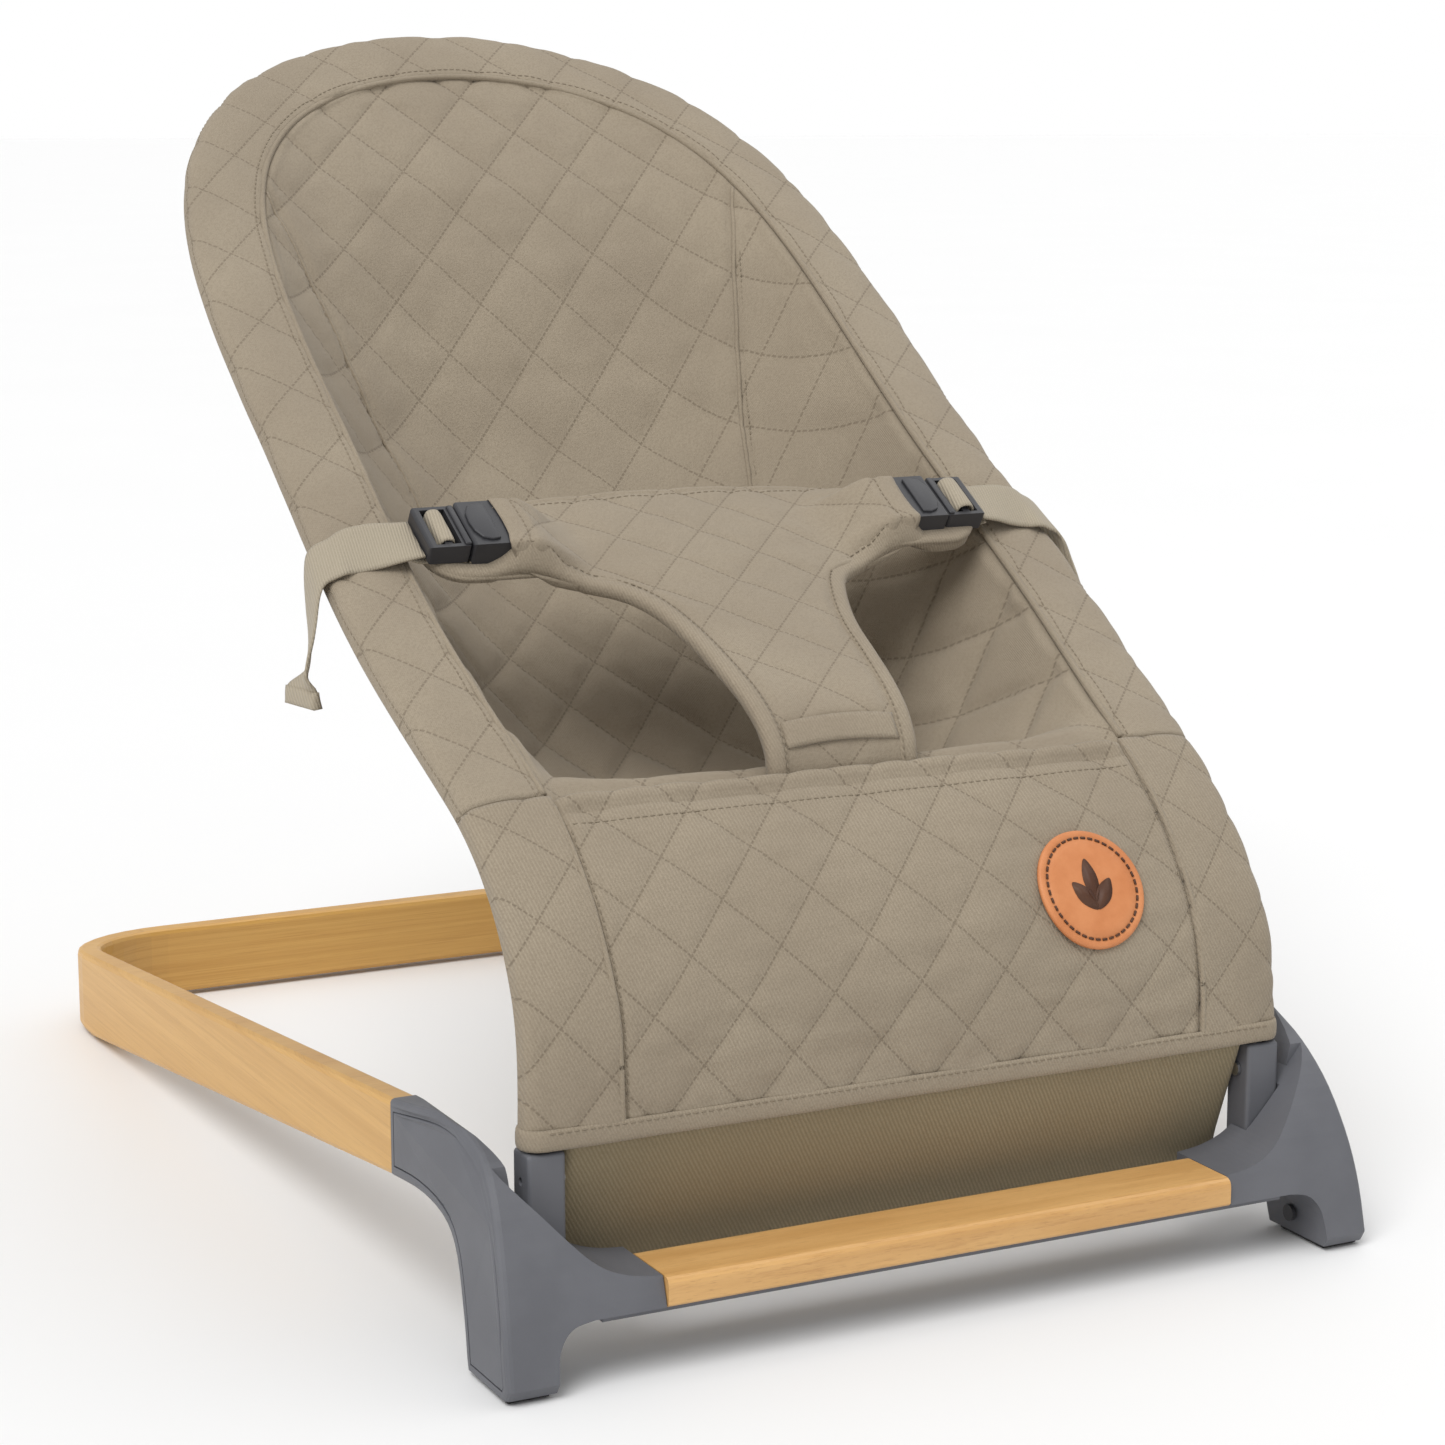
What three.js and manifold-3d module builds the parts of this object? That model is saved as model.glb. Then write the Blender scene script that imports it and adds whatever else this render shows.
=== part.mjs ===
// Bouncer seat: bent-wood U rail and crossbar, two moulded feet, a reclining and
// bouncing tube hoop with quilted fabric, and a bib that clips to two side straps.
// Millimetres. X across the seat, +Y from the front crossbar to the head, +Z up.
import * as THREE from 'three';
import { mergeVertices } from 'three/addons/utils/BufferGeometryUtils.js';
import Module from 'manifold-3d';

// ---- driving dimensions ----------------------------------------------------------

const ORIGIN_Y = 313.65;

// bent-wood base
const RAIL_X = 199;
const RAIL_THICK = 12.5;
const RAIL_FRONT_Y = 118.6;
const RAIL_BACK_Y = 629;
const RAIL_CORNER = 62;
const RAIL_EDGE = 2.5;
const RAIL_TOP_FRONT = 87.6;
const RAIL_TOP_FALL = 0.098;
const RAIL_UNDER_FRONT = 55.5;
const RAIL_UNDER_FALL = 0.1238;
const PAD_HEIGHT = 1.5;
const FLOOR_GAP = 1.8;
const BAR_HALF = 131;
const BAR_FRONT = 2.6;
const BAR_BACK = 36;
const BAR_UNDER = 27;
const BAR_TOP = 38.8;
const PLATE_HALF = 158;

// moulded feet
const FOOT_INNER = 179;
const FOOT_RECESS = 197.4;
const FOOT_FACE = 200;
const FOOT_LEAN = 0.0011;
const FOOT_WALL_X = 182;
const WEB_START = 131.5;
const WEB_BACK = 43;
const COVER_INSET = 4.9;

// hubs and their pivots
const PIVOT_Y = 40.5;
const PIVOT_Z = 42;
const PIN_R = 3.5;
const HUB_IN = 160;
const HUB_OUT = 176;
const HUB_HALF_DEPTH = 7.5;
const HUB_TOP = 85.2;
const SOCKET_FLOOR = 61;
const RIVET_Z = 73;
const RIVET_R = 1.5;
const BUTTON_Z = 53.6;
const BUTTON_R = 3.7;
const RUN_GAP = 0.3;

// seat hoop
const TUBE_R = 5;
const EDGE_TO_TUBE = 9.2;
const PAD_OUT = 8.2;
const PAD_TOP = 6.9;
const LEG_START = [34.46, 88.92];
const LEG_LENGTH = 153.3;
const LEG_STEEP = 88.7;
const LEG_FLAT = 29.12;
const HEAD_RISE = 11.56;
const HEAD_START = 383.2;
const HOOP_LENGTH = 687.3;
const HALF_WIDTHS = [[0, 177.7], [126, 174.7], [253, 181.6], [383.2, 179.3]];

// soft goods
const BORDER_WIDTH = 37;
const BORDER_FROM = 139;
const FLAP_FROM = 0.5;
const FLAP_HALF = 136;
const BUCKET_THICK = 6;
const APRON_HALF = 157.5;
const BIB_THICK = 5;
const BUCKLE_AT = [232, 299];
const BUCKLE_TILT = 31;
const STRAP_WIDTH = 24;
const BADGE_AT = [87.2, 158.5];
const BADGE_R = 24.8;

const wasm = await Module();
wasm.setup();

const PAINTS = {
  wood: 0xcda470,
  grey: 0x65666b,
  dark: 0x3a3a3c,
  steel: 0xb9bbbd,
  cloth: 0xa3967f,
  twill: 0x887c65,
  badge: 0xd08758,
};

function radians(degrees) {
  return degrees * Math.PI / 180;
}

function named(name, geometry, paint) {
  const material = new THREE.MeshStandardMaterial({ color: PAINTS[paint], roughness: 0.7 });
  const mesh = new THREE.Mesh(geometry, material);
  mesh.name = name;
  return mesh;
}

function mirrored(geometry) {
  const copy = geometry.clone();
  copy.scale(-1, 1, 1);
  const index = copy.index.array;
  for (let i = 0; i < index.length; i += 3) {
    const keep = index[i];
    index[i] = index[i + 1];
    index[i + 1] = keep;
  }
  copy.computeVertexNormals();
  return copy;
}

function bothSides(group, name, geometry, paint) {
  const welded = welding(geometry);
  group.add(named(`left_${name}`, mirrored(welded), paint));
  group.add(named(`right_${name}`, welded, paint));
}

function welding(geometry) {
  const bare = geometry.clone();
  bare.deleteAttribute('normal');
  bare.deleteAttribute('uv');
  return mergeVertices(bare, 1e-4);
}

function solid(geometry) {
  const welded = welding(geometry);
  const mesh = new wasm.Mesh({
    numProp: 3,
    vertProperties: new Float32Array(welded.attributes.position.array),
    triVerts: new Uint32Array(welded.index.array),
  });
  return new wasm.Manifold(mesh);
}

function geometryOf(body) {
  const mesh = body.getMesh();
  const geometry = new THREE.BufferGeometry();
  geometry.setAttribute('position', new THREE.BufferAttribute(mesh.vertProperties, 3));
  geometry.setIndex(new THREE.BufferAttribute(mesh.triVerts, 1));
  geometry.computeVertexNormals();
  return geometry;
}

function block(low, high) {
  const size = high.map((value, axis) => value - low[axis]);
  const box = new THREE.BoxGeometry(...size);
  box.translate(...high.map((value, axis) => (value + low[axis]) / 2));
  return box;
}

// A cylinder along X, Y or Z from one end to the other.
function rod(axis, from, to, radius, sides = 20) {
  const shape = new THREE.CylinderGeometry(radius, radius, to[axis] - from[axis], sides);
  if (axis === 0) shape.rotateZ(-Math.PI / 2);
  if (axis === 2) shape.rotateX(Math.PI / 2);
  shape.translate(...from.map((value, i) => (value + to[i]) / 2));
  return shape;
}

// ---- lofts -----------------------------------------------------------------------

function closedMesh(points, faces) {
  const geometry = new THREE.BufferGeometry();
  const flat = points.flatMap((p) => [p.x, p.y, p.z]);
  geometry.setAttribute('position', new THREE.Float32BufferAttribute(flat, 3));
  let volume = 0;
  for (const [a, b, c] of faces) {
    volume += points[a].dot(points[b].clone().cross(points[c]));
  }
  const outward = volume > 0 ? faces : faces.map(([a, b, c]) => [a, c, b]);
  geometry.setIndex(outward.flat());
  geometry.computeVertexNormals();
  return geometry;
}

function wallFaces(first, count, rings, step, flip) {
  const faces = [];
  for (let ring = 0; ring < rings - 1; ring++) {
    for (let i = 0; i < count; i++) {
      const a = first + ring * step + i;
      const b = first + ring * step + (i + 1) % count;
      const quad = [[a, b, b + step], [a, b + step, a + step]];
      faces.push(...(flip ? quad.map(([p, q, r]) => [p, r, q]) : quad));
    }
  }
  return faces;
}

// Sections are flat [out, up] outlines carried along stations {at, out, up}.
// A hole outline makes the body a sleeve, open at both ends.
function sweep(stations, sectionAt, hole = []) {
  const points = [];
  const first = sectionAt(stations[0], 0);
  const count = first.length + hole.length;
  stations.forEach((station, k) => {
    for (const [a, b] of [...sectionAt(station, k), ...hole]) {
      const point = station.at.clone();
      point.addScaledVector(station.out, a);
      point.addScaledVector(station.up, b);
      points.push(point);
    }
  });
  const faces = wallFaces(0, first.length, stations.length, count, false);
  if (hole.length) faces.push(...wallFaces(first.length, hole.length, stations.length, count, true));
  const outline = first.map(([a, b]) => new THREE.Vector2(a, b));
  const inner = hole.map(([a, b]) => new THREE.Vector2(a, b));
  const corners = [...outline, ...inner];
  const caps = THREE.ShapeUtils.triangulateShape(outline, hole.length ? [inner] : []);
  const spin = THREE.ShapeUtils.area(outline) * THREE.ShapeUtils.area(caps[0].map((i) => corners[i]));
  const last = (stations.length - 1) * count;
  for (const cap of caps) {
    const [a, b, c] = spin > 0 ? cap : cap.slice().reverse();
    faces.push([a, c, b]);
    faces.push([last + a, last + b, last + c]);
  }
  return closedMesh(points, faces);
}

// A sheet of cloth: rows of points, thickened along the sheet's own normal.
function sheet(rows, thickness) {
  const height = rows.length;
  const width = rows[0].length;
  const top = rows.flat();
  const bottom = [];
  for (let j = 0; j < height; j++) {
    for (let i = 0; i < width; i++) {
      const across = rows[j][Math.min(i + 1, width - 1)].clone().sub(rows[j][Math.max(i - 1, 0)]);
      const along = rows[Math.min(j + 1, height - 1)][i].clone().sub(rows[Math.max(j - 1, 0)][i]);
      const normal = across.cross(along).normalize();
      bottom.push(rows[j][i].clone().addScaledVector(normal, thickness));
    }
  }
  const size = width * height;
  const faces = [];
  const quad = (a, b, c, d) => faces.push([a, b, c], [a, c, d]);
  for (let j = 0; j < height - 1; j++) {
    for (let i = 0; i < width - 1; i++) {
      const a = j * width + i;
      quad(a, a + 1, a + width + 1, a + width);
      quad(size + a, size + a + width, size + a + width + 1, size + a + 1);
    }
  }
  for (let i = 0; i < width - 1; i++) {
    const far = (height - 1) * width + i;
    quad(i + 1, i, size + i, size + i + 1);
    quad(far, far + 1, size + far + 1, size + far);
  }
  for (let j = 0; j < height - 1; j++) {
    const left = j * width;
    const right = left + width - 1;
    quad(left, left + width, size + left + width, size + left);
    quad(right + width, right, size + right, size + right + width);
  }
  return closedMesh([...top, ...bottom], faces);
}

function ellipse(halfWide, halfHigh, sides) {
  const ring = [];
  for (let i = 0; i < sides; i++) {
    const turn = 2 * Math.PI * i / sides;
    ring.push([halfWide * Math.cos(turn), halfHigh * Math.sin(turn)]);
  }
  return ring;
}

function ease(t) {
  const held = Math.min(Math.max(t, 0), 1);
  return held * held * (3 - 2 * held);
}

function along(table, value) {
  const last = table.length - 1;
  if (value <= table[0][0]) return table[0][1];
  if (value >= table[last][0]) return table[last][1];
  const k = table.findIndex((row) => row[0] > value) - 1;
  const part = (value - table[k][0]) / (table[k + 1][0] - table[k][0]);
  return table[k][1] + part * (table[k + 1][1] - table[k][1]);
}

// ---- hoop line -------------------------------------------------------------------

function hoopSlope(s) {
  const leg = Math.max(1 - s / LEG_LENGTH, 0);
  const rise = Math.max((s - LEG_LENGTH) / (HOOP_LENGTH - LEG_LENGTH), 0);
  return radians(LEG_FLAT + (LEG_STEEP - LEG_FLAT) * leg ** 1.22 + HEAD_RISE * rise);
}

function hoopProfile() {
  const profile = [[...LEG_START]];
  for (let s = 0; s < HOOP_LENGTH; s++) {
    const slope = hoopSlope(s + 0.5);
    const [y, z] = profile[s];
    profile.push([y + Math.cos(slope), z + Math.sin(slope)]);
  }
  return profile;
}

const PROFILE = hoopProfile();
const WIDTH_CURVE = new THREE.SplineCurve(HALF_WIDTHS.map(([s, w]) => new THREE.Vector2(s, w)));

function halfWidth(s) {
  const legWidth = WIDTH_CURVE.getPoint(Math.min(s / HEAD_START, 1)).y;
  const u = Math.max((s - HEAD_START) / (HOOP_LENGTH - HEAD_START), 0);
  return legWidth * Math.max(1 - u ** 3.88, 0) ** (1 / 1.99);
}

// Point on the outer edge of the covered hoop, right side.
function edgePoint(s) {
  const k = Math.min(Math.floor(s), PROFILE.length - 2);
  const part = s - k;
  const y = PROFILE[k][0] + part * (PROFILE[k + 1][0] - PROFILE[k][0]);
  const z = PROFILE[k][1] + part * (PROFILE[k + 1][1] - PROFILE[k][1]);
  return new THREE.Vector3(halfWidth(s), y + 5.5 * (1 - ease(s / 60)), z);
}

// Stations of the covered edge from a start on the right leg to the head's middle.
function halfStations(from, steps, headSteps) {
  const list = [];
  for (let i = 0; i < steps; i++) {
    list.push(from + (HEAD_START - from) * i / steps);
  }
  for (let i = 0; i <= headSteps; i++) {
    const t = i / headSteps;
    list.push(HEAD_START + (HOOP_LENGTH - HEAD_START) * (1 - (1 - t) ** 2));
  }
  return list.map((s) => stationAt(s));
}

function stationAt(s) {
  const slope = hoopSlope(s);
  const up = new THREE.Vector3(0, -Math.sin(slope), Math.cos(slope));
  const near = edgePoint(Math.max(s - 1.5, 0));
  const beyond = Math.min(s + 1.5, HOOP_LENGTH);
  const far = edgePoint(beyond);
  if (beyond === HOOP_LENGTH) far.x = -near.x * (s >= HOOP_LENGTH ? 1 : 0);
  const tangent = far.sub(near).normalize();
  const out = tangent.clone().cross(up).normalize();
  return { at: edgePoint(s).addScaledVector(out, -EDGE_TO_TUBE), out, up, s };
}

function flipped(station) {
  const turn = (v) => new THREE.Vector3(-v.x, v.y, v.z);
  return { at: turn(station.at), out: turn(station.out), up: station.up, s: station.s };
}

function wholeLoop(half) {
  const back = half.slice(0, -1).reverse().map(flipped);
  return [...half, ...back];
}

// ---- base ------------------------------------------------------------------------

function railSection(width, low, high) {
  const side = width / 2;
  const middle = (low + high) / 2;
  const reach = (high - low) / 2;
  const ring = [];
  for (let corner = 0; corner < 4; corner++) {
    const cx = (corner === 0 || corner === 3 ? 1 : -1) * (side - RAIL_EDGE);
    const cz = (corner < 2 ? 1 : -1) * (reach - RAIL_EDGE);
    for (let i = 0; i <= 2; i++) {
      const turn = Math.PI / 2 * (corner + i / 2);
      ring.push([cx + RAIL_EDGE * Math.cos(turn), middle + cz + RAIL_EDGE * Math.sin(turn)]);
    }
  }
  return ring;
}

function railPath() {
  const x = RAIL_X - RAIL_THICK / 2;
  const radius = RAIL_CORNER - RAIL_THICK / 2;
  const backY = RAIL_BACK_Y - RAIL_THICK / 2;
  const arcY = backY - radius;
  const plan = [];
  const straight = [RAIL_FRONT_Y, 220, 330, 440, 520, 553, arcY];
  for (const y of straight) plan.push([x, y, 1, 0]);
  for (let i = 1; i <= 8; i++) {
    const turn = Math.PI / 2 * i / 8;
    plan.push([x - radius + radius * Math.cos(turn), arcY + radius * Math.sin(turn), Math.cos(turn), Math.sin(turn)]);
  }
  plan.push([0, backY, 0, 1]);
  return plan;
}

function rearRail() {
  const up = new THREE.Vector3(0, 0, 1);
  const half = railPath().map(([x, y, ox, oy]) => ({
    at: new THREE.Vector3(x, y, 0),
    out: new THREE.Vector3(ox, oy, 0),
    up,
    s: y,
  }));
  return sweep(wholeLoop(half), (station) => {
    const run = station.s - RAIL_FRONT_Y;
    const low = Math.max(RAIL_UNDER_FRONT - run * RAIL_UNDER_FALL, FLOOR_GAP);
    return railSection(RAIL_THICK, low, RAIL_TOP_FRONT - run * RAIL_TOP_FALL);
  });
}

function frontCrossbar() {
  const shape = new THREE.Shape();
  const top = BAR_TOP;
  shape.moveTo(BAR_FRONT + 1, BAR_UNDER);
  shape.lineTo(BAR_BACK - 1, BAR_UNDER);
  shape.lineTo(BAR_BACK, BAR_UNDER + 1);
  shape.lineTo(BAR_BACK, top - 3);
  shape.quadraticCurveTo(BAR_BACK, top, BAR_BACK - 3, top);
  shape.lineTo(BAR_FRONT + 4, top);
  shape.quadraticCurveTo(BAR_FRONT, top, BAR_FRONT, top - 4);
  shape.lineTo(BAR_FRONT, BAR_UNDER + 1);
  return sideExtrude(shape, -BAR_HALF, BAR_HALF, 0, 4);
}

function outlineOf(shape, curve) {
  const points = shape.extractPoints(curve).shape;
  const ring = points.filter((point, i) => point.distanceTo(points[(i + 1) % points.length]) > 0.01);
  return ring.filter((point, i) => {
    const before = point.clone().sub(ring[(i + ring.length - 1) % ring.length]).normalize();
    const after = ring[(i + 1) % ring.length].clone().sub(point).normalize();
    return Math.abs(before.cross(after)) > 0.004;
  });
}

function insetRing(ring, inset) {
  if (inset === 0) return ring;
  const turn = THREE.ShapeUtils.area(ring) > 0 ? 1 : -1;
  return ring.map((point, i) => {
    const before = ring[(i + ring.length - 1) % ring.length];
    const after = ring[(i + 1) % ring.length];
    const first = point.clone().sub(before).normalize();
    const second = after.clone().sub(point).normalize();
    const normal = new THREE.Vector2(-(first.y + second.y), first.x + second.x);
    const bend = Math.max(normal.length() / 2, 0.5);
    return point.clone().addScaledVector(normal.normalize(), turn * inset / bend);
  });
}

// Extrudes a (y, z) outline along X between two planes, with rounded ends.
function sideExtrude(shape, from, to, bevel, curve = 8) {
  const ring = outlineOf(shape, curve);
  const turns = bevel > 0 ? [0, 30, 60, 90].map(radians) : [radians(90)];
  const ends = turns.map((turn) => [from + bevel * (1 - Math.cos(turn)), bevel * (1 - Math.sin(turn))]);
  const far = ends.slice().reverse().map(([x, inset]) => [from + to - x, inset]);
  const side = new THREE.Vector3(0, 1, 0);
  const up = new THREE.Vector3(0, 0, 1);
  const stations = [...ends, ...far].map(([x, inset]) => ({
    at: new THREE.Vector3(x, 0, 0), out: side, up, inset,
  }));
  return sweep(stations, (station) => insetRing(ring, station.inset).map((p) => [p.x, p.y]));
}

// Extrudes an (x, z) outline along Y between two planes.
function frontExtrude(shape, from, to, curve = 6) {
  const geometry = new THREE.ExtrudeGeometry(shape, {
    depth: to - from,
    bevelEnabled: false,
    curveSegments: curve,
  });
  geometry.rotateX(Math.PI / 2);
  geometry.translate(0, to, 0);
  return geometry;
}

function footOutline() {
  const shape = new THREE.Shape();
  shape.moveTo(39, 0);
  shape.lineTo(2, 0);
  shape.lineTo(-1.7, 6);
  const front = [[3.9, 30], [11.8, 50], [24, 70], [40, 84.5], [60, 92.5]];
  shape.splineThru(front.map(([y, z]) => new THREE.Vector2(y, z)));
  const crest = [[79, 93.2], [118, 88.2]];
  shape.splineThru(crest.map(([y, z]) => new THREE.Vector2(y, z)));
  shape.lineTo(118, 56);
  const under = [[91, 57.7], [67, 53.6], [53.6, 42.9], [44.3, 21.7], [40.6, 6]];
  shape.splineThru(under.map(([y, z]) => new THREE.Vector2(y, z)));
  return shape;
}

function insetOutline(shape, inset) {
  return new THREE.Shape(insetRing(outlineOf(shape, 3), inset));
}

// The feet draw in towards the top, and meet the rail flush at the back.
function lean(geometry) {
  const place = geometry.attributes.position;
  for (let i = 0; i < place.count; i++) {
    const hold = 1 - ease((place.getY(i) - 30) / 85);
    place.setX(i, place.getX(i) - FOOT_LEAN * hold * place.getZ(i) ** 2);
  }
  return geometry;
}

// The wall behind the hub, rounded off at its inner top edge.
function rearWall() {
  const shape = new THREE.Shape();
  shape.moveTo(FOOT_WALL_X, FLOOR_GAP);
  const top = [[FOOT_WALL_X, 68], [184, 80.5], [188, 88], [193, 92], [210, 97]];
  shape.lineTo(...top[0]);
  shape.splineThru(top.slice(1).map(([x, z]) => new THREE.Vector2(x, z)));
  shape.lineTo(210, FLOOR_GAP);
  return frontExtrude(shape, 36, 140, 3);
}

// Everything of the foot lies below this line in the front view.
function rimRegion() {
  const shape = new THREE.Shape();
  shape.moveTo(WEB_START, BAR_UNDER);
  shape.lineTo(WEB_START, BAR_TOP);
  const rim = [[142, 40], [152, 43], [160, 48], [168, 56], [176, 65], [185, 75], [190, 82], [194, 93]];
  shape.splineThru(rim.map(([x, z]) => new THREE.Vector2(x, z)));
  shape.lineTo(196, 110);
  shape.lineTo(210, 110);
  shape.lineTo(210, FLOOR_GAP);
  shape.lineTo(FOOT_INNER, FLOOR_GAP);
  const arch = [[178.5, 8.6], [177.5, 16.4], [174.7, 22], [170, 25.6], [162, BAR_UNDER]];
  shape.splineThru(arch.map(([x, z]) => new THREE.Vector2(x, z)));
  return frontExtrude(shape, -20, 140, 3);
}

function footShell() {
  const side = solid(lean(sideExtrude(footOutline(), 120, FOOT_FACE, 2.6, 3)));
  const recess = insetOutline(footOutline(), COVER_INSET - RUN_GAP);
  let foot = side.intersect(solid(rimRegion()).add(solid(rearWall())));
  foot = foot.subtract(solid(lean(sideExtrude(recess, FOOT_RECESS, 220, 0, 3))));
  foot = foot.subtract(solid(block([100, WEB_BACK, -5], [FOOT_INNER, 140, 120])));
  foot = foot.subtract(solid(block([100, WEB_BACK + 15, -5], [FOOT_WALL_X, 140, 120])));
  const pocketR = HUB_HALF_DEPTH + 0.7;
  const cheek = HUB_IN - 0.6;
  foot = foot.subtract(solid(rod(0, [cheek, PIVOT_Y, PIVOT_Z], [HUB_OUT + 0.6, PIVOT_Y, PIVOT_Z], pocketR, 24)));
  foot = foot.subtract(solid(block([cheek, PIVOT_Y - pocketR, PIVOT_Z], [HUB_OUT + 0.6, 80, 120])));
  foot = foot.subtract(solid(block([cheek, PIVOT_Y, PIVOT_Z - pocketR], [HUB_OUT + 0.6, 80, 120])));
  const boreR = PIN_R + RUN_GAP;
  foot = foot.subtract(solid(rod(0, [170, PIVOT_Y, PIVOT_Z], [190.4, PIVOT_Y, PIVOT_Z], boreR, 20)));
  foot = foot.subtract(solid(rod(0, [170, 22, 11], [186.4, 22, 11], 2 + RUN_GAP, 12)));
  return geometryOf(foot);
}

function footCover() {
  const shape = insetOutline(footOutline(), COVER_INSET);
  return lean(sideExtrude(shape, FOOT_RECESS + RUN_GAP, FOOT_FACE, 0.7, 3));
}

function footPad() {
  const shape = new THREE.Shape();
  shape.moveTo(4, 0);
  shape.lineTo(34, 0);
  shape.lineTo(35, PAD_HEIGHT);
  shape.lineTo(3, PAD_HEIGHT);
  return sideExtrude(shape, FOOT_INNER + 2, FOOT_FACE - 2, 0);
}

function footScrew() {
  const head = solid(rod(0, [175.4, 22, 11], [177.3, 22, 11], 3.6, 16));
  const shank = solid(rod(0, [177, 22, 11], [186, 22, 11], 2, 12));
  return geometryOf(head.add(shank));
}

function pivotPin() {
  return rod(0, [HUB_IN + 1, PIVOT_Y, PIVOT_Z], [190, PIVOT_Y, PIVOT_Z], PIN_R, 20);
}

function baseParts(group) {
  group.add(named('rear_rail', rearRail(), 'wood'));
  group.add(named('front_crossbar', frontCrossbar(), 'wood'));
  const plate = block([-PLATE_HALF, 5, BAR_UNDER - 2], [PLATE_HALF, 34, BAR_UNDER - RUN_GAP]);
  group.add(named('crossbar_underplate', plate, 'grey'));
  bothSides(group, 'foot_shell', footShell(), 'grey');
  bothSides(group, 'foot_cover', footCover(), 'grey');
  bothSides(group, 'foot_pad', footPad(), 'dark');
  const rearPad = rod(2, [150, 622.5, 0], [150, 622.5, PAD_HEIGHT], 5.5, 16);
  bothSides(group, 'rear_pad', rearPad, 'dark');
  bothSides(group, 'foot_screw', footScrew(), 'steel');
  bothSides(group, 'pivot_pin', pivotPin(), 'steel');
}

// ---- hubs ------------------------------------------------------------------------

function hub() {
  const shape = new THREE.Shape();
  const front = PIVOT_Y - HUB_HALF_DEPTH;
  const back = PIVOT_Y + HUB_HALF_DEPTH;
  shape.moveTo(front, PIVOT_Z);
  shape.absarc(PIVOT_Y, PIVOT_Z, HUB_HALF_DEPTH, Math.PI, 2 * Math.PI, false);
  shape.lineTo(back, HUB_TOP - 2.5);
  shape.quadraticCurveTo(back, HUB_TOP, back - 2.5, HUB_TOP);
  shape.lineTo(front + 2.5, HUB_TOP);
  shape.quadraticCurveTo(front, HUB_TOP, front, HUB_TOP - 2.5);
  let body = solid(sideExtrude(shape, HUB_IN, HUB_OUT, 1.6, 7));
  const middle = (HUB_IN + HUB_OUT) / 2;
  const socket = rod(2, [middle, PIVOT_Y, SOCKET_FLOOR], [middle, PIVOT_Y, HUB_TOP + 5], TUBE_R + 1.3, 20);
  body = body.subtract(solid(socket));
  const bore = [[HUB_IN - 5, PIVOT_Y, PIVOT_Z], [HUB_OUT + 5, PIVOT_Y, PIVOT_Z]];
  body = body.subtract(solid(rod(0, bore[0], bore[1], PIN_R + RUN_GAP, 20)));
  const well = rod(1, [middle, 36.4, BUTTON_Z], [middle, 60, BUTTON_Z], BUTTON_R + RUN_GAP, 16);
  body = body.subtract(solid(well));
  const across = rod(0, [HUB_IN - 5, PIVOT_Y, RIVET_Z], [HUB_OUT + 5, PIVOT_Y, RIVET_Z], RIVET_R + RUN_GAP, 12);
  return geometryOf(body.subtract(solid(across)));
}

function hubRivet() {
  const shank = solid(rod(0, [HUB_IN - 1, PIVOT_Y, RIVET_Z], [HUB_OUT - 1, PIVOT_Y, RIVET_Z], RIVET_R, 12));
  const head = solid(rod(0, [HUB_IN - 1.6, PIVOT_Y, RIVET_Z], [HUB_IN - RUN_GAP, PIVOT_Y, RIVET_Z], 3, 16));
  return geometryOf(shank.add(head));
}

function lockButton() {
  const middle = (HUB_IN + HUB_OUT) / 2;
  const stem = solid(rod(1, [middle, 42.6, BUTTON_Z], [middle, 50.4, BUTTON_Z], BUTTON_R, 16));
  const guide = solid(rod(1, [middle, 39.6, BUTTON_Z], [middle, 43, BUTTON_Z], 1.2, 10));
  return geometryOf(stem.add(guide));
}

class Coil extends THREE.Curve {
  getPoint(t, target = new THREE.Vector3()) {
    const turn = 2 * Math.PI * 4 * t;
    const middle = (HUB_IN + HUB_OUT) / 2;
    return target.set(middle + 2.5 * Math.cos(turn), 37.1 + 4.9 * t, BUTTON_Z + 2.5 * Math.sin(turn));
  }
}

function tubeAlong(curve, radius, steps, sides) {
  const ring = ellipse(radius, radius, sides).map(([a, b]) => new THREE.Vector2(a, b));
  return new THREE.ExtrudeGeometry(new THREE.Shape(ring), { steps, extrudePath: curve, bevelEnabled: false });
}

function hubCrossTube() {
  const half = [[159, 44.8, 79.4], [154, 44.9, 79], [149.6, 47.6, 70], [148, 54.5, 50], [140, 59, 38], [122, 60.9, 33.4]];
  const right = half.map(([x, y, z]) => new THREE.Vector3(x, y, z));
  const left = half.slice().reverse().map(([x, y, z]) => new THREE.Vector3(-x, y, z));
  const curve = new THREE.CatmullRomCurve3([...right, new THREE.Vector3(0, 61, 33), ...left]);
  return tubeAlong(curve, 3.4, 46, 7);
}

function apronFront(z) {
  return 35 + (84.5 - z) * 0.384;
}

function frontApron() {
  const heights = [83.6, 74, 64, 54, 46, 41, 37, 33.5, 31, 29.6, 29];
  const rows = heights.map((z) => {
    const low = Math.max(46 - z, 0) / 17;
    const half = APRON_HALF - 17 + 17 * Math.sqrt(Math.max(1 - low * low, 0));
    const row = [];
    for (let i = 0; i <= 10; i++) {
      row.push(new THREE.Vector3(half * (i / 5 - 1), apronFront(z), z));
    }
    return row;
  });
  return sheet(rows.reverse(), -2.2);
}

function hubParts(group) {
  bothSides(group, 'hub', hub(), 'grey');
  bothSides(group, 'hub_rivet', hubRivet(), 'steel');
  bothSides(group, 'lock_button', lockButton(), 'dark');
  bothSides(group, 'lock_spring', tubeAlong(new Coil(), 0.45, 40, 5), 'steel');
  group.add(named('hub_cross_tube', hubCrossTube(), 'steel'));
  group.add(named('front_apron', frontApron(), 'twill'));
}

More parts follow.
